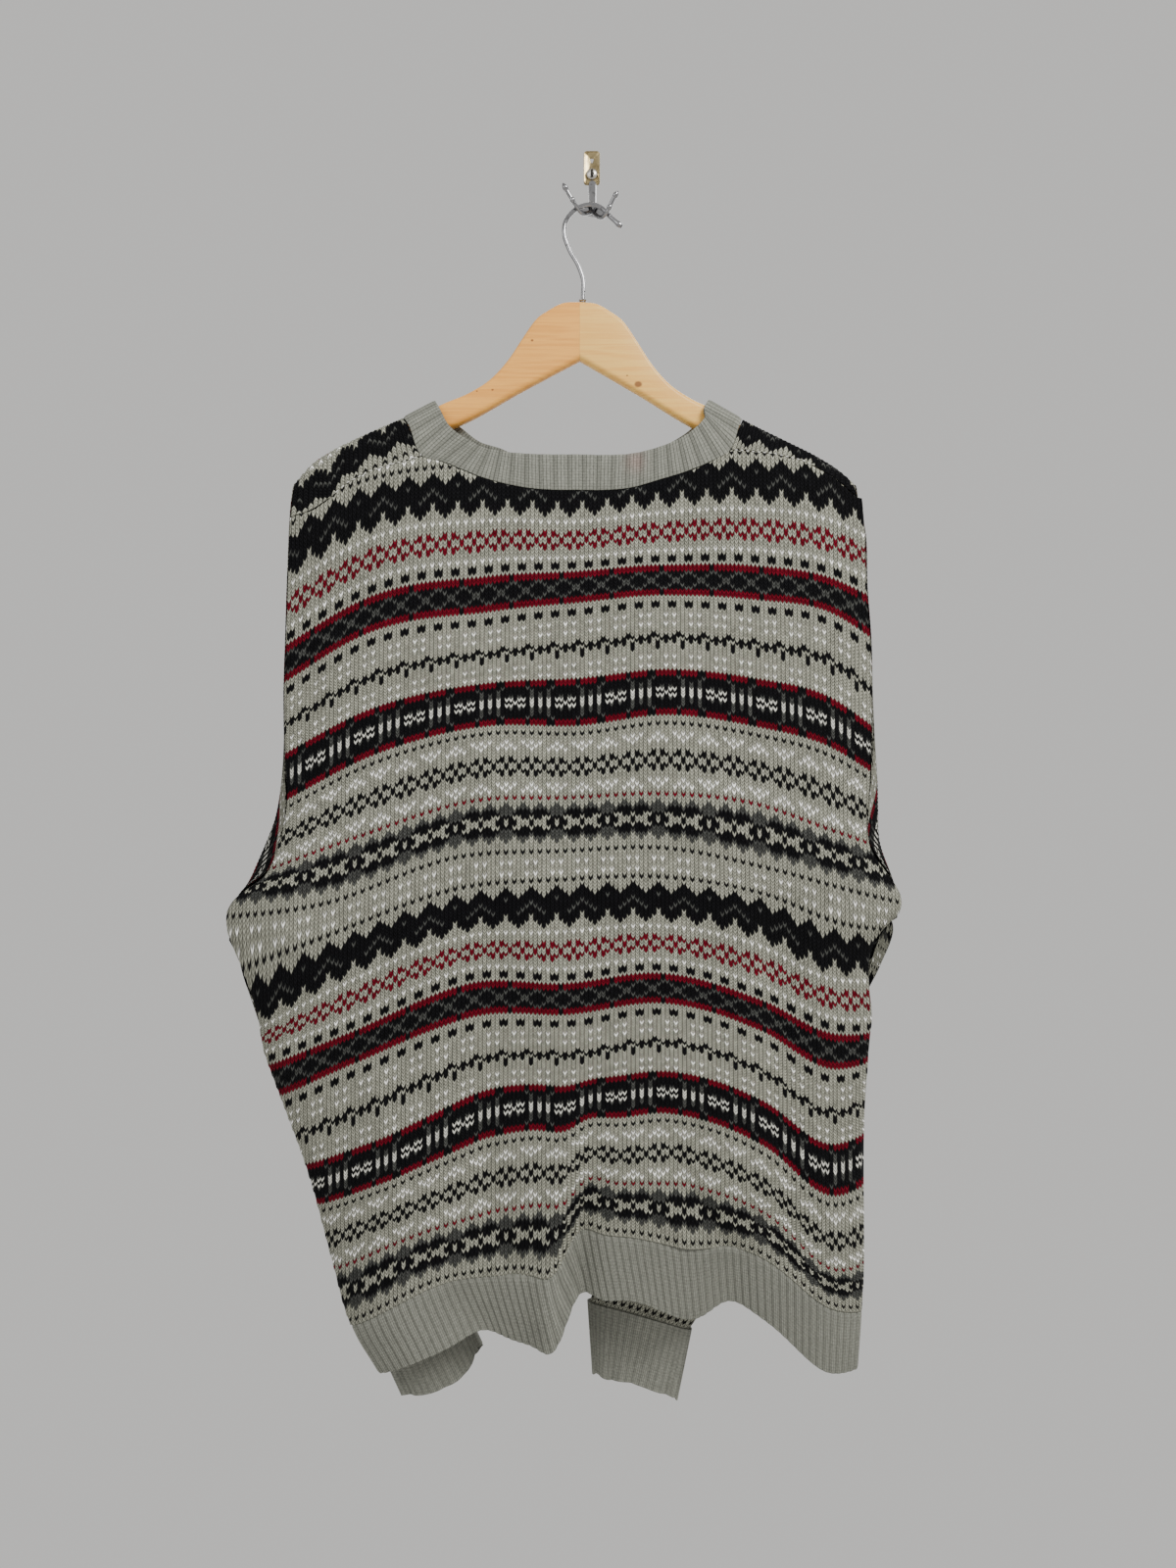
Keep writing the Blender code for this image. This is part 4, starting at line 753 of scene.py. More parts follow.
class Nodes:
    """Short calls for a material's nodes."""

    def __init__(self, name, roughness, metallic=0.0):
        self.material = bpy.data.materials.new(name)
        self.material.use_nodes = True
        self.tree = self.material.node_tree
        self.shader = self.tree.nodes["Principled BSDF"]
        self.set("Roughness", roughness)
        self.set("Metallic", metallic)

    def set(self, socket, value):
        self.put(self.shader.inputs[socket], value)

    def put(self, socket, value):
        if isinstance(value, bpy.types.NodeSocket):
            self.tree.links.new(value, socket)
        else:
            socket.default_value = value

    def add(self, kind, inputs=(), **values):
        node = self.tree.nodes.new(kind)
        for key, value in values.items():
            setattr(node, key, value)
        for socket, value in inputs:
            self.put(node.inputs[socket], value)
        return node

    def math(self, operation, *values):
        return self.add("ShaderNodeMath", enumerate(values), operation=operation).outputs[0]

    def times(self, a, b):
        return self.math("MULTIPLY", a, b)

    def scaled(self, value, gain, base):
        return self.math("ADD", self.times(value, gain), base)

    def arch(self, place):
        """A half wave over each whole step of a place."""
        return self.math("SINE", self.times(self.math("FRACT", place), math.pi))

    def clamp(self, value):
        return self.add("ShaderNodeClamp", [(0, value)]).outputs[0]

    def mix(self, factor, a, b, blend="MIX"):
        inputs = [(0, factor), (6, a), (7, b)]
        return self.add("ShaderNodeMix", inputs, data_type="RGBA", blend_type=blend).outputs[2]

    def where(self, scale=(1, 1, 1), turn=(0, 0, 0)):
        """Place on the object, in metres, turned and scaled."""
        place = self.add("ShaderNodeTexCoord").outputs["Object"]
        inputs = [("Vector", place), ("Rotation", turn), ("Scale", scale)]
        return self.add("ShaderNodeMapping", inputs).outputs[0]

    def noise(self, scale, detail, vector=None):
        inputs = [("Scale", scale), ("Detail", detail), ("Vector", vector or self.where())]
        return self.add("ShaderNodeTexNoise", inputs).outputs["Fac"]

    def bump(self, height, strength, distance):
        inputs = [("Height", height), ("Strength", strength), ("Distance", distance)]
        self.set("Normal", self.add("ShaderNodeBump", inputs).outputs[0])


def yarn_height(m, u, v, depth):
    """Relief of the stitches' legs: round across each course and towards the wale's edges."""
    legs = m.times(m.arch(m.times(u, 2.0)), 0.25)
    side = m.math("ADD", m.times(m.math("POWER", m.arch(u), 0.6), 0.55), legs)
    round_leg = m.scaled(m.math("POWER", m.arch(v), 0.6), depth, 1.0 - depth)
    return m.times(round_leg, m.math("ADD", side, 0.2))


def yarn_material(name, relief, painted_shading, flecks, slow, specular, bump):
    """Yarn with painted shade: its colour is darkened between the stitches' legs. The painted shading is
    power, gain and base on the relief; flecks and the slow unevenness are a noise's scale, detail, gain and
    base."""
    m = Nodes(name, 0.93)
    chart_map = m.add("ShaderNodeUVMap", uv_map="stitch").outputs[0]
    split = m.add("ShaderNodeSeparateXYZ", [(0, chart_map)])
    height = yarn_height(m, split.outputs[0], split.outputs[1], relief)
    power, gain, base = painted_shading
    # Painted shade: where the relief is low, between the legs, the yarn's colour is darkened; flecks and
    # slow unevenness then vary it
    painted_shade_and_flecks = m.scaled(m.math("POWER", height, power), gain, base)
    for scale, detail, gain, base in (flecks, slow):
        painted_shade_and_flecks = m.times(painted_shade_and_flecks, m.scaled(m.noise(scale, detail), gain, base))
    grey = m.add("ShaderNodeCombineXYZ", [(0, painted_shade_and_flecks), (1, painted_shade_and_flecks), (2, painted_shade_and_flecks)]).outputs[0]
    yarn = m.add("ShaderNodeAttribute", attribute_name="yarn").outputs["Color"]
    m.set("Base Color", m.mix(1.0, yarn, grey, "MULTIPLY"))
    m.set("Specular IOR Level", specular)
    fuzz = m.times(m.noise(2600.0, 3.0), 0.25)
    m.bump(m.math("ADD", height, fuzz), *bump)
    return m.material


def wood_material(name, light, dark, tilt, knots):
    """Wood with its grain along the tilted board, and round dark knots: x, z, size in mm."""
    m = Nodes(name, 0.42)
    place = m.add("ShaderNodeTexCoord").outputs["Object"]
    along = m.where((5, 30, 120), (0, tilt, 0))
    bands = m.math("SINE", m.times(m.noise(1.3, 5.0, along), 34.0))
    fine = m.noise(9.0, 3.0, along)
    amount = m.math("ADD", m.times(bands, 0.22), m.times(fine, 0.75))
    colour = m.mix(m.clamp(m.math("SUBTRACT", amount, 0.10)), light, dark)
    squash = 1.3
    for x, z, size in knots:
        flat = m.add("ShaderNodeVectorMath", [(0, place), (1, (1, 0, squash))], operation="MULTIPLY")
        ends = [(0, flat.outputs[0]), (1, (x * MM, 0, z * MM * squash))]
        away = m.add("ShaderNodeVectorMath", ends, operation="DISTANCE").outputs["Value"]
        rings = m.math("SINE", m.times(away, 3.2 / (size * MM)))
        near = m.math("SUBTRACT", 1.0, m.math("DIVIDE", away, size * MM))
        depth = m.clamp(m.math("ADD", m.times(near, 2.2), m.times(rings, 0.15)))
        inside = m.times(depth, m.math("GREATER_THAN", near, -0.4))
        colour = m.mix(m.times(inside, 0.85), colour, (0.20, 0.055, 0.012, 1))
    m.set("Base Color", colour)
    m.set("Coat Weight", 0.25)
    m.set("Coat Roughness", 0.25)
    m.bump(fine, 0.12, 0.0004)
    return m.material


def metal_material(name, colour, roughness, spots, dull):
    """Metal with dull spots of wear."""
    m = Nodes(name, roughness, 1.0)
    wear = m.noise(260.0, 3.0)
    amount = m.times(m.clamp(m.times(m.math("SUBTRACT", wear, 0.52), 6.0)), spots)
    m.set("Base Color", m.mix(amount, colour, dull))
    m.set("Roughness", m.scaled(wear, 0.18, max(roughness - 0.08, 0.02)))
    m.bump(m.noise(900.0, 2.0), 0.06, 0.0002)
    return m.material


def swirled_material(name, roughness, scale, detail, squash, light, dark, strength):
    """Two colours in fine swirls, as of horn or of twisted thread."""
    m = Nodes(name, roughness)
    swirl = m.noise(scale, detail, m.where((1, 1, squash)))
    m.set("Base Color", m.mix(swirl, light, dark))
    m.bump(swirl, strength, 0.0002)
    return m.material


# Both yarns carry painted shade, darker between their stitches' legs
KNIT = yarn_material(
    "knitted_yarn", relief=0.8, painted_shading=(1.7, 1.35, 0.18), flecks=(900.0, 2.0, 0.7, 0.65),
    slow=(14.0, 2.0, 0.16, 0.92), specular=0.08, bump=(0.9, 0.0009),
)
RIB = yarn_material(
    "ribbed_yarn", relief=0.3, painted_shading=(1.0, 0.95, 0.35), flecks=(700.0, 3.0, 0.9, 0.55),
    slow=(25.0, 2.0, 0.3, 0.85), specular=0.1, bump=(0.8, 0.0008),
)


# ---------------------------------------------------------------- body and sleeves

def make_back():
    left, right = SECTIONS[UNDERARM][5:7]
    margin = 2
    first = MIDDLE_WALE + math.floor((left - margin - MIDDLE_X) / WALE)
    last = MIDDLE_WALE + math.ceil((right + margin - MIDDLE_X) / WALE)
    half_wales = np.arange(2 * (last - first) + 1)
    x = MIDDLE_X + (first + half_wales / 2 - MIDDLE_WALE) * WALE
    numbers = np.arange(FIRST_COURSE, int(RIB_COURSE) + 3)
    courses = np.minimum(numbers[:, None] + leg_shift(len(x)), RIB_COURSE)
    points = back_surface(np.broadcast_to(x, courses.shape), courses)
    return place(knit("back_knit", points, first, FIRST_COURSE, False), ["back"], "knit")


def strip_courses(dense):
    """Courses of the strip over the hanger, counted on from the back's own at the seam."""
    seam = dense[0]
    f = (seam[:, 0] - SEAM_LINE_LEFT) / SEAM_LINE_WIDTH
    start = YOKE_COURSE - (seam[:, 2] - course_z(f, YOKE_COURSE)) / yoke_pitch(f)
    return start + SEAM_LEAD + path_lengths(dense) / COURSE


def panel_courses(dense):
    """Courses of a front's panel, which lead at the shoulder and fall in with the back's below it."""
    start = YOKE_COURSE - (dense[0, :, 2] - dense[DENSE_ROWS, :, 2]) / COURSE + SHOULDER_LEAD
    below = np.array([float(course_of(row)) for row in rows_between(1, RIB_TOP, 2)])
    below = below + SHOULDER_LEAD * np.clip((COURSES[UNDERARM] - below) / LEAD_COURSES, 0, 1)
    table = np.concatenate([start[None], np.tile(below[:, None], (1, len(start)))])
    where = np.linspace(0, len(table) - 1, len(dense))
    return np.stack([np.interp(where, np.arange(len(table)), column) for column in table.T], axis=-1)


def make_front(side):
    """Two pieces of stitches: the strip over the hanger, and the panel below the neckline."""
    places = np.abs(side.columns - side.columns[0])
    half_wales = np.arange(0, int(2 * places[-1] / WALE) + 1) * WALE / 2
    strip, panel = side.grid[: FIRST_FULL + 1, : NECK_COLUMN + 1], side.grid[FIRST_FULL:]
    pieces = []
    for label, grid, courses_of in (("shoulder", strip, strip_courses), ("panel", panel, panel_courses)):
        known = places[: grid.shape[1]]
        x = np.append(half_wales[half_wales <= known[-1]], known[-1])
        dense = read_down(read_across(known, grid, x), DENSE_ROWS)
        courses = courses_of(dense)
        # Courses have to grow down the cloth, so equal ones are set apart
        courses = courses + np.linspace(0, 1e-6, len(courses))[:, None]
        name = f"{side.name}_front_{label}"
        piece = knit_surface(name, dense, courses, side.front_wale, side.is_left)
        pieces.append(place(piece, [f"{side.name}_front"], "knit"))
    return pieces


def make_sleeve(side):
    """Stitches all round a sleeve: from the armhole, round the fold at the side, down to the cuff."""
    first = armhole_ring(side)
    rings = [first] + [fold_ring(first, side, turn) for turn in (0, 50, 90)]
    grid = np.array(rings + [flat_ring(line) for line in side.sleeve])
    closed = np.concatenate([grid, grid[:, :1]], axis=1)
    count = grid.shape[1]
    around = np.linspace(0, count, count * RING_FINE + 1)
    fine = read_across(np.arange(count + 1), read_down(closed, 10), around)
    along = path_lengths(fine, axis=1)
    from_top = along - along[:, RING_TOP * RING_FINE][:, None]
    wales = math.ceil(np.abs(from_top).max() / WALE)
    half_wales = np.arange(-2 * wales, 2 * wales + 1) / 2 * WALE
    surface = np.stack([read_line(half_wales, places, line) for places, line in zip(from_top, fine)])
    path = path_lengths(surface)
    start = SLEEVE_COURSE + side.sleeve_slope * (side.sleeve_z - surface[0, :, 2])
    courses = start + path / path[-1:] * (RIB_COURSE - start)
    name = f"{side.name}_sleeve"
    piece = knit_surface(f"{name}_knit", surface, courses, side.sleeve_wale - wales, not side.is_left)
    return place(piece, [name], "knit")


BACK_TOP = back_at(BACK_COLUMNS, 0)
LEFT.grid, RIGHT.grid = front_grid(LEFT), front_grid(RIGHT)
back = make_back()
left_front, right_front = make_front(LEFT), make_front(RIGHT)
left_sleeve, right_sleeve = make_sleeve(LEFT), make_sleeve(RIGHT)


# ---------------------------------------------------------------- ribbed edges

def rib_profile(phase):
    """Height of 2 by 2 ribbing across one rib, 0 to 1: a rounded pair of knit wales and a furrow."""
    wave = 0.5 - 0.5 * np.cos(2 * math.pi * phase)
    pair = 1 - 0.30 * np.exp(-(((phase % 1) - 0.5) / 0.06) ** 2)
    return wave**0.6 * pair


def rib_normals(surface, closed, flip):
    """Directions out of a ribbed surface, evened out along a closed one."""
    along = np.gradient(surface, axis=1)
    if closed:
        along = (np.roll(surface, -1, axis=1) - np.roll(surface, 1, axis=1)) / 2
    normals = np.cross(np.gradient(surface, axis=0), along) * (-1 if flip else 1)
    normals /= np.maximum(np.linalg.norm(normals, axis=2), 1e-9)[:, :, None]
    if closed:
        normals = sum(np.roll(normals, k, axis=1) for k in range(-RIB_SMOOTHING, RIB_SMOOTHING + 1))
    return normals / np.linalg.norm(normals, axis=2)[:, :, None]


def wall_faces(down, count, closed, flip):
    """Faces of a wall of two grids of down + 1 rows: outer, inner, and the rims between them."""
    size = (down + 1) * count
    outer, inner = grid_faces(down + 1, count, closed, flip), grid_faces(down + 1, count, closed, not flip)
    here = np.arange(count if closed else count - 1)
    after = (here + 1) % count
    rims = [(here, after, True), (here + down * count, after + down * count, False)]
    if not closed:
        start = np.arange(down) * count
        end = start + count - 1
        rims += [(start, start + count, False), (end, end + count, True)]
    faces = [outer, inner + size]
    for a, b, turn in rims:
        faces.append(np.stack([a, b, b + size, a + size], axis=-1)[:, :: -1 if turn != flip else 1])
    return np.concatenate(faces)


def ribbed(name, rows, ribs, flip, closed=False, raise_mm=1.3, across=10, down=None, stain=None, sink=0.0):
    """Ribbing between rows of points (the first is sewn on), each evenly spread, as a closed wall."""
    rows = np.asarray(rows, float)
    if closed:
        rows = np.concatenate([rows, rows[:, :1]], axis=1)
    count = ribs * across + (0 if closed else 1)
    places = np.arange(count) / across
    line = read_across(np.arange(rows.shape[1]), rows, places / ribs * (rows.shape[1] - 1))
    length = np.linalg.norm(line[-1] - line[0], axis=1).mean()
    down = down or max(3, int(round(length / RIB_FACE)))
    surface = hermite(np.linspace(0, 1, len(rows)), line, np.linspace(0, 1, down + 1))
    normals = rib_normals(surface, closed, flip)
    steps = np.arange(down + 1)
    ends = np.minimum(1, np.minimum(steps, steps[::-1] + 0.6) / 1.5 + 0.25)
    height = rib_profile(places) * raise_mm * ends[:, None] - RIB_BASE
    height[0] -= sink
    outer, inner = surface + normals * height[:, :, None], surface - normals * RIB_WALL
    points = np.concatenate([outer.reshape(-1, 3), inner.reshape(-1, 3)])
    faces = wall_faces(down, count, closed, flip)
    v, u = np.meshgrid(steps.astype(float), places * RIB_WALES, indexing="ij")
    uv = np.stack([np.tile(u.ravel(), 2)[faces], np.tile(v.ravel(), 2)[faces]], axis=-1)
    around = uv[:, :, 0]
    wrapped = np.ptp(around, axis=1) > RIB_WALES
    around[wrapped[:, None] & (around < 2)] += RIB_WALES * ribs
    # Painted shade: each face's colour follows the rib's height, darker in the furrows and lighter on the
    # crowns
    painted_rib_shade = rib_profile((around.mean(axis=1) / RIB_WALES) % 1)
    colours = np.array(RIB_YARN) * (0.82 + 0.30 * painted_rib_shade)[:, None]
    if stain:
        away = (points[faces].mean(axis=1)[:, (0, 2)] - stain) / STAIN_SPREAD
        colours = colours + np.exp(-np.sum(away**2, axis=1))[:, None] * np.array(STAIN_YARN)
    maps = (("stitch", uv.reshape(-1, 2)),)
    return add_mesh(name, points, faces, RIB, maps, np.clip(colours, 0, 1), 80)


def make_hem(label, rows, ribs, flip, raise_mm):
    rows[0] = rows[0] + (0, 0, LAP)
    rib = ribbed(f"{label}_hem_ribbing", rows, ribs, flip, raise_mm=raise_mm, sink=RIM_SINK)
    return place(rib, [f"{label}_hem_rib"], "rib")


def make_hems():
    f = np.linspace(0, 1, 141)
    rows = [back_at(f, row) for row in (RIB_TOP + 0.1, RIB_TOP + 0.4, RIB_TOP + 0.7, HEM)]
    made = [make_hem("back", rows, 69, False, 1.2)]
    for side in SIDES:
        x = np.linspace(side.columns[0], side.columns[-1], 61)
        rows = [front_points(x, row, side) for row in (RIB_TOP, RIB_TOP + 0.5, HEM)]
        made.append(make_hem(f"{side.name}_front", rows, 32, side.is_left, 1.0))
    return made


def make_neckband():
    """One strip round the neck: up one front's edge, over the hanger, along the back and down again."""
    flare, tuck = 4, 0.5
    lines = []
    for side in SIDES:
        sewn = list(side.grid[FIRST_FULL, :NECK_COLUMN:-1]) + list(side.grid[FIRST_FULL:0:-1, NECK_COLUMN])
        free = [(x, -FRONT_DEPTH, z) for _, _, x, z in side.neckline[::-1]]
        end_x = side.free_x - side.sign * flare
        lines.append((sewn, free + over_board(end_x, side.free_x, end_x)[::-1]))
    sewn_back = BACK_TOP[len(LEFT_SEAM_F) - 1 : len(LEFT_SEAM_F) + len(NECK_F) + 1]
    free_x, free_z = (smooth(BACK_NECK_FREE, sewn_back[:, 0], column) for column in (1, 2))
    free_back = np.stack([free_x, sewn_back[:, 1], free_z], axis=-1)
    sewn = np.array(lines[0][0] + list(sewn_back) + lines[1][0][::-1])
    free = np.array(lines[0][1] + list(free_back) + lines[1][1][::-1])
    sewn = sewn + (free - sewn) / np.linalg.norm(free - sewn, axis=1)[:, None] * tuck
    places = path_lengths((sewn + free) / 2)
    sewn, free = (hermite(places, edge, np.linspace(0, places[-1], 185)) for edge in (sewn, free))
    band = ribbed("neckband_ribbing", [sewn, (sewn + free) / 2, free], 50, True, stain=(33, -246))
    return place(band, ["neckband"], "rib")


def make_cuff(side):
    """Ribbing round a flattened wrist, more crumpled towards its end."""
    turns = np.arange(144) / 144 * 2 * math.pi
    wrist, hem = np.array(side.sleeve[-1], float), np.array(side.cuff_hem, float)
    axis = np.array([wrist[5] - wrist[1], 0, wrist[0] - wrist[4]])
    axis *= -np.sign(axis[2]) / np.linalg.norm(axis)
    layer = np.sign(np.sin(turns)) * np.abs(np.sin(turns)) ** 0.7
    rows = []
    for share in (0.0, 0.5, 1.0):
        spot = quadratic(wrist + (hem - wrist) * share, 0.5 - 0.5 * np.cos(turns))
        crumple = share * (1.5 * np.sin(5 * turns + 0.6) + 0.9 * np.sin(9 * turns + 2.0))
        y = -SLEEVE_DEPTH + SLEEVE_HALF * layer + np.abs(crumple) * np.sign(layer)
        lower = share * (1.6 * np.sin(3 * turns + 0.4) + 1.0 * np.sin(5 * turns)) - (0 if share else LAP)
        rows.append(np.stack([spot[:, 0], y, spot[:, 1]], axis=-1) + np.outer(lower, axis))
    name = f"{side.name}_cuff"
    made = ribbed(f"{name}_ribbing", rows, 38, not side.is_left, closed=True, raise_mm=1.0, sink=RIM_SINK)
    return place(made, [name], "rib")


def make_band(side):
    """A button band, ribbed across, from the neckband to just above the hem's end."""
    left, right = float(section_value("x_left", HEM_COURSE)), float(section_value("x_right", HEM_COURSE))
    bottom = float(course_z((BAND_MIDDLE - left) / (right - left), HEM_COURSE)) + 6
    z = np.linspace(BAND_TOP, bottom, 81)
    across = [BAND_MIDDLE + share * BAND_WIDTH for share in (-0.5, 0, 0.5)]
    rows = [np.stack([np.full_like(z, x), np.full_like(z, -side.band_depth), z], axis=-1) for x in across]
    made = ribbed(f"{side.name}_band_ribbing", rows, 90, False, raise_mm=0.35, across=6, down=24)
    return place(made, [f"{side.name}_button_band"], "rib")


hems = make_hems()
neckband = make_neckband()
left_cuff, right_cuff = make_cuff(LEFT), make_cuff(RIGHT)
left_band, right_band = make_band(LEFT), make_band(RIGHT)


# ---------------------------------------------------------------- hanger, hook and buttons

def make_board(name, sign, finish):
    """One half of the hanger, thinner and rounder towards its end."""
    ends = (0, 199, 203, 206, 207.5), (1, 1, 0.9, 0.75, 0.55)
    grid = []
    for out in np.concatenate([np.linspace(0.03, 195, 74), (197, 199, 201, 203, 204.5, 206, 207, 207.5)]):
        top, bottom = (float(board_z(sign * out, table)) for table in (BOARD_TOP, BOARD_BOTTOM))
        half, tall = HANGER_HALF * np.interp(out, *ends), (top - bottom) / 2
        ring = rounded(half, tall, 0.8 * half, min(0.55 * tall, 4.6), range(0, 91, 15))
        middle = HANGER_X + sign * out, -HANGER_DEPTH, (top + bottom) / 2
        grid.append([(middle[0], middle[1] + y, middle[2] + z) for y, z in ring])
    grid = np.array(grid)
    faces = capped_faces(*grid.shape[:2], sign > 0)
    board = add_mesh(f"{name}_board", grid.reshape(-1, 3), faces, finish, angle=60)
    return place(board, [name], "wood")


def make_wire(chrome):
    """The hanger's hook with its rounded tip, and the collar where it enters the wood."""
    count = 150
    centres = path_points([(x, HANGER_DEPTH, z) for x, z in WIRE_PATH], count)
    radii = np.full(count, WIRE_RADIUS)
    radii[-len(WIRE_TIP_RADII):] = WIRE_TIP_RADII
    points, faces = turned(((2.4, 0), (2.9, 0.5), (2.9, 1.1), (2.2, 1.6)), (0, 0, 0))
    upright = [(x + WIRE_PATH[0][0], -HANGER_DEPTH + z, COLLAR_Z + y) for x, y, z in points]
    points, faces = joined(tube(centres, radii), (upright, [face[::-1] for face in faces]))
    return place(add_mesh("hanger_hook_wire", points, faces, chrome, angle=50), ["hanger_wire"], "chrome")


def make_plate(brass):
    """The wall hook's plate, with a raised rim round its face and a countersunk hole."""
    outline = rounded(PLATE_WIDTH / 2, PLATE_HEIGHT / 2, PLATE_CORNER, PLATE_CORNER, np.arange(0, 91, 22.5))
    centre = np.array((0, PLATE_HOLE_Z))
    angles = np.arctan2(*(outline - centre).T[::-1])
    hole = centre + PLATE_HOLE_RADIUS * np.stack([np.cos(angles), np.sin(angles)], axis=-1)
    sunk = centre + (hole - centre) * 1.7
    layers = (
        (outline, 0.0), (outline, 1.5), (outline * (0.965, 0.983), 2.1), (outline * (0.90, 0.955), 2.1),
        (outline * (0.84, 0.93), PLATE_THICKNESS), (sunk, PLATE_THICKNESS), (hole, 0.9), (hole, 0.0),
    )
    points = [(x, -depth, z) for ring, depth in layers for x, z in ring]
    faces = grid_faces(len(layers), len(outline), True, True)
    return place(add_mesh("hook_plate", points, faces, brass, angle=50), ["wall_hook"], "chrome")


def make_prong(path):
    """A prong with a ring round it and a ball at its end."""
    count, ball = 60, 12
    radii = np.full(count, PRONG_RADIUS)
    radii[36:40] = (1.9, RING_RADIUS, RING_RADIUS, 1.9)
    for k, angle in enumerate(np.linspace(0, math.pi, ball)):
        least = PRONG_RADIUS if k < 4 else 0.3
        radii[count - ball + k] = max(least, BALL_RADIUS * math.sin(0.35 + angle * 0.86))
    return tube(path_points(path, count), radii)


def make_arms(chrome):
    """The hook's shank, both prongs, and the tilted disc where they part."""
    tilt, count = math.radians(9), 30
    profile = ((8.8, -0.3), (10.0, 0.0), (10.25, 0.5), (10.0, 1.0), (8.4, 1.3), (3.5, 1.7))
    points, faces = turned(profile, (0, 0, 0), 64)
    x, y, z = points.T
    disc_x = 0.7 + x * math.cos(tilt) - y * math.sin(tilt)
    disc_z = -44.3 - x * math.sin(tilt) - y * math.cos(tilt)
    disc = np.stack([disc_x, -23 + z * 0.96, disc_z], axis=-1)
    shank = tube(path_points(SHANK_PATH, count), np.linspace(3.3, 2.7, count))
    points, faces = joined(shank, make_prong(LEFT_PRONG), make_prong(RIGHT_PRONG), (disc, faces))
    return place(add_mesh("hook_arms", points, faces, chrome, angle=50), ["wall_hook"], "chrome")


def make_screw(steel, dark):
    """The screw's domed head with a shallow slot, and a dark block in the slot as painted shadow."""
    dome = ((0.15, -2.5), (0.45, -2.4), (0.75, -1.95), (0.93, -1.3), (1, -0.5), (1, 0))
    seat_y = -(PLATE_THICKNESS + 0.25)
    points, faces = turned([(r * SCREW_RADIUS, y) for r, y in dome], (0, seat_y, SCREW_Z), 48)
    slot_half, slot_depth, slot_edge = 0.75, 0.9, seat_y - 0.8
    cut = [(x, y + slot_depth * (abs(x) < slot_half and y < slot_edge), z) for x, y, z in points]
    place(add_mesh("plate_screw_head", cut, faces, steel, angle=30), ["wall_screw"], "screw")
    # A dark block sunk in the slot: painted shadow
    top, bottom, half, length = seat_y - 2.62, seat_y - 1.6, 0.55, 3.1
    corners = [
        (side * half * (0.7 if y == top else 1), y, SCREW_Z + end * length)
        for side in (-1, 1) for y in (top, bottom) for end in (-1, 1)
    ]
    faces = [(0, 1, 3, 2), (4, 6, 7, 5), (0, 4, 5, 1), (2, 3, 7, 6), (0, 2, 6, 4), (1, 5, 7, 3)]
    place(add_mesh("plate_screw_slot_shadow", corners, faces, dark, angle=30), [], "screw")


def make_buttons(finish):
    """Dished buttons, each with four small raised eyes."""
    full, radius = BUTTON_THICKNESS, BUTTON_RADIUS
    profile = (
        (5.6, 0), (7.1, 0.35), (radius, 0.9), (radius, full - 0.9), (7.2, full - 0.3), (6.6, full),
        (5.9, full - 0.1), (5.2, full - 0.7), (3.0, full - 0.8), (0.4, full - 0.8),
    )
    eye = ((0.75, full - 0.9), (0.75, full - 0.7), (0.5, full - 0.62))
    seat_y, eye_place = -(LEFT.band_depth - 0.8), 1.5
    for i in range(BUTTONS):
        z = FIRST_BUTTON_Z + (LAST_BUTTON_Z - FIRST_BUTTON_Z) * i / (BUTTONS - 1)
        eyes = [
            turned(eye, (BAND_MIDDLE + x * eye_place, seat_y, z + up * eye_place), 16)
            for up in (-1, 1) for x in (-1, 1)
        ]
        points, faces = joined(turned(profile, (BAND_MIDDLE, seat_y, z), 48), *eyes)
        button = add_mesh(f"button_{i + 1}_turned", points, faces, finish, angle=40)
        place(button, [f"button_{i + 1}"], "button")


def make_seam_stitches(finish):
    """Short pale sewing stitches along the shoulder seams, beside the neckband."""
    left, right = SECTIONS[0][5:7]
    step, length, proud, above = 4.3, 2.2, 0.25, 0.3
    parts = []
    for seam, low, high in ((SEAM_LEFT, -196, -133), (SEAM_RIGHT, 109, 168)):
        for start in np.arange(low, high, step):
            x = start + np.array((0, length / 2, length))
            y = -(top_depth((x - left) / (right - left)) + proud)
            parts.append(tube(np.stack([x, y, broken(seam, x) + above], axis=-1), (0.25, 0.42, 0.25), 8))
    points, faces = joined(*parts)
    return place(add_mesh("shoulder_seam_stitches", points, faces, finish), [], "knit")


CHROME = metal_material("chromed_steel", (0.34, 0.34, 0.35, 1), 0.15, 0.6, (0.10, 0.10, 0.10, 1))
BRASS = metal_material("brassy_plate", (0.40, 0.32, 0.17, 1), 0.32, 0.6, (0.14, 0.10, 0.045, 1))
STEEL = metal_material("nickel_screw", (0.62, 0.60, 0.55, 1), 0.30, 0.4, (0.25, 0.22, 0.17, 1))
# Near-black finish of the painted shadow in the screw's slot
SLOT_SHADE = metal_material("screw_slot_shade", (0.03, 0.028, 0.025, 1), 0.6, 0.5, (0.01, 0.01, 0.01, 1))
BUTTON = swirled_material(
    "dark_button", 0.3, 300.0, 4.0, 2.4, (0.012, 0.010, 0.009, 1), (0.075, 0.055, 0.040, 1), 0.05
)
THREAD = swirled_material(
    "sewing_thread", 0.8, 2500.0, 2.0, 3, (0.55, 0.55, 0.50, 1), (0.95, 0.95, 0.90, 1), 0.3
)
ORANGE_WOOD = wood_material(
    "orange_wood", (0.98, 0.47, 0.085, 1), (0.74, 0.28, 0.04, 1), -0.35,
    ((-46, -151, 1.3), (-76.5, -189, 1.1), (-88.5, -190, 0.9)),
)
LIGHT_WOOD = wood_material(
    "light_wood", (1.0, 0.60, 0.145, 1), (0.86, 0.40, 0.075, 1), 0.35,
    ((35.5, -184.7, 3.6), (27, -178, 0.9)),
)
make_board("hanger_left", -1, ORANGE_WOOD)
make_board("hanger_right", 1, LIGHT_WOOD)
make_wire(CHROME)
make_plate(BRASS)
make_arms(CHROME)
make_screw(STEEL, SLOT_SHADE)
make_buttons(BUTTON)
seam_stitches = make_seam_stitches(THREAD)
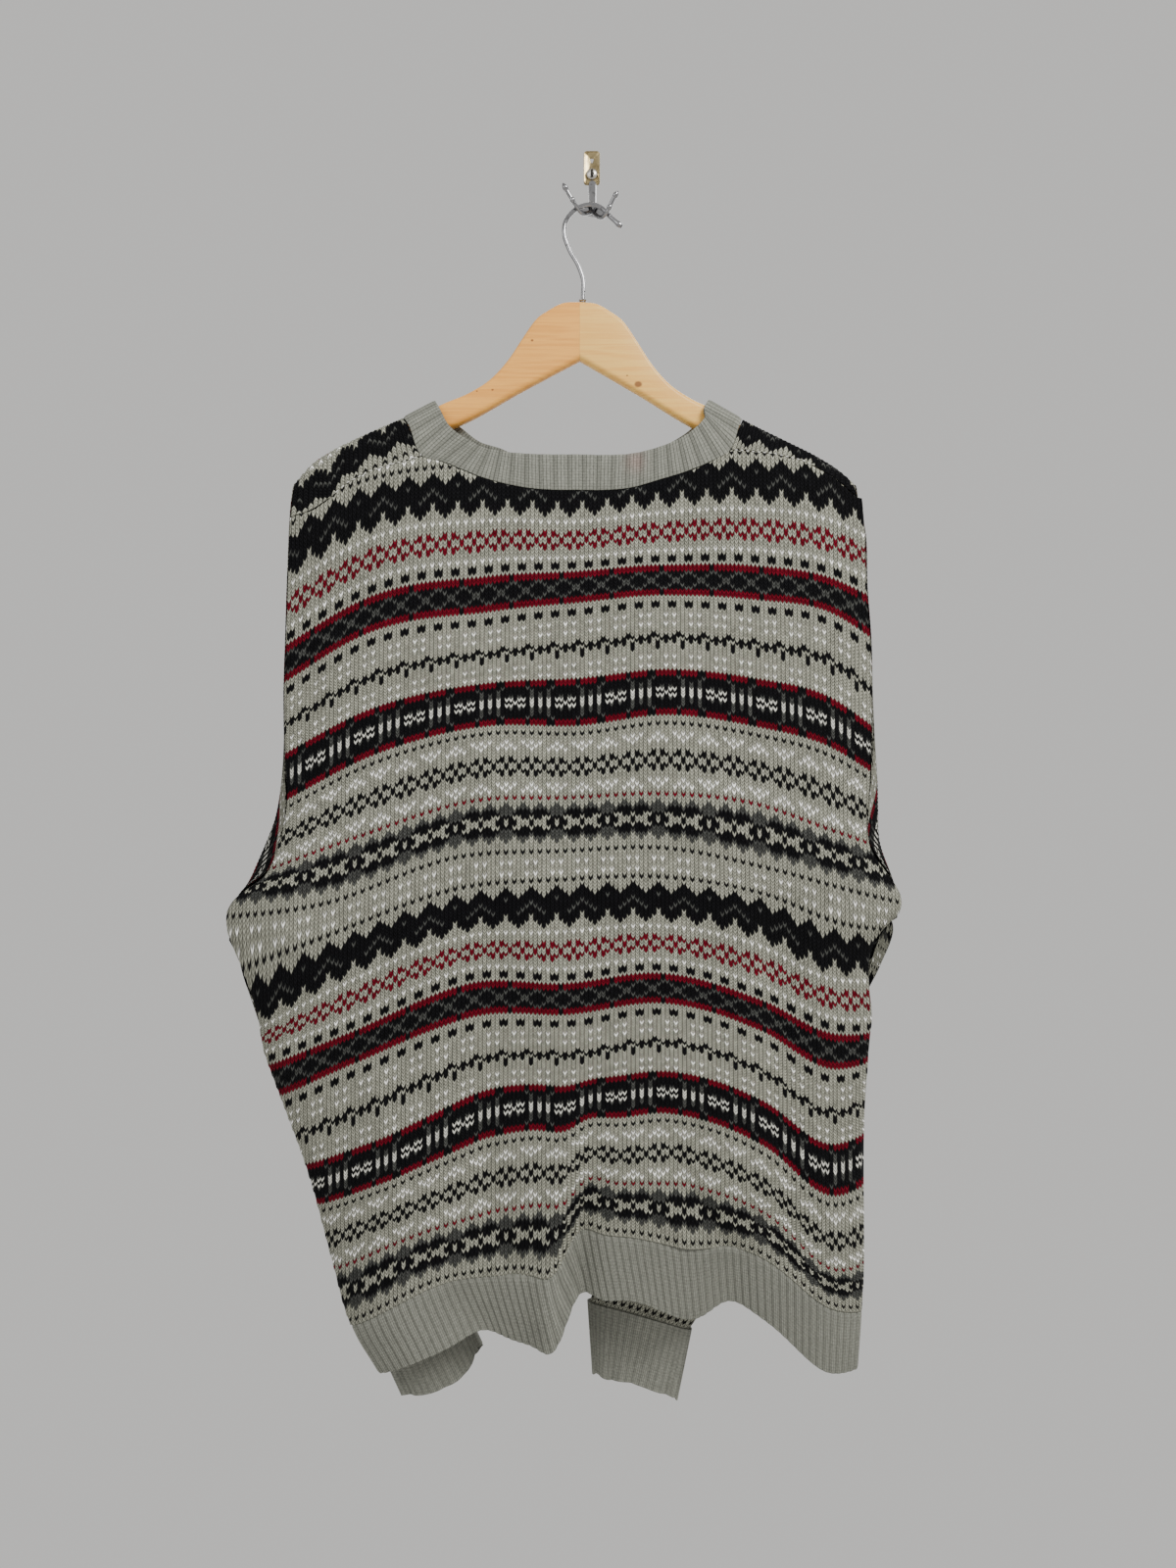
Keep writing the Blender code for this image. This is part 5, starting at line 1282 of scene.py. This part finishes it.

# ---------------------------------------------------------------- floor, light and camera, in metres

floor = bpy.data.meshes.new("floor")
floor.from_pydata([(-1.6, -2.6, 0), (1.6, -2.6, 0), (1.6, 0.35, 0), (-1.6, 0.35, 0)], [], [(0, 1, 2, 3)])
pale = Nodes("pale_floor", 0.9)
pale.set("Base Color", pale.mix(pale.noise(3.0, 2.0), (0.60, 0.59, 0.57, 1), (0.66, 0.65, 0.63, 1)))
floor.materials.append(pale.material)
stage = bpy.data.objects.new("floor", floor)
stage.location = (0, 0, -1.42)
bpy.context.scene.collection.objects.link(stage)


def area_light(name, location, size, power, colour=(1, 1, 1)):
    """A square light that looks at the middle of the garment."""
    data = bpy.data.lights.new(name, "AREA")
    data.energy, data.size, data.color = power, size, colour
    made = bpy.data.objects.new(name, data)
    made.location = location
    made.rotation_mode = "QUATERNION"
    middle = Vector((0, 0, -0.5))
    made.rotation_quaternion = (middle - Vector(location)).to_track_quat("-Z", "Y")
    bpy.context.scene.collection.objects.link(made)


area_light("key", (1.1, -1.4, 0.95), 0.8, 46, (1, 0.985, 0.96))
area_light("fill", (-1.3, -1.5, 0.1), 1.4, 8)
area_light("behind", (0.4, 1.8, 0.6), 1.6, 24)
world = bpy.data.worlds.new("studio")
world.use_nodes = True
world.node_tree.nodes["Background"].inputs["Color"].default_value = (0.80, 0.79, 0.77, 1)
world.node_tree.nodes["Background"].inputs["Strength"].default_value = 0.78
bpy.context.scene.world = world

CAMERA_X, CAMERA_AWAY, CAMERA_Z = -3.1 * MM, 942 * MM, -492 * MM
PHOTO_HEIGHT, FOCAL_PIXELS = 1600, 1202
lens = bpy.data.cameras.new("camera")
lens.sensor_width = 36.0
lens.lens = lens.sensor_width * FOCAL_PIXELS / PHOTO_HEIGHT
lens.clip_start, lens.clip_end = 0.01, 50
camera = bpy.data.objects.new("camera", lens)
camera.location = (CAMERA_X, -CAMERA_AWAY, CAMERA_Z)
camera.rotation_euler = (math.pi / 2, 0, 0)
bpy.context.scene.collection.objects.link(camera)
bpy.context.scene.camera = camera
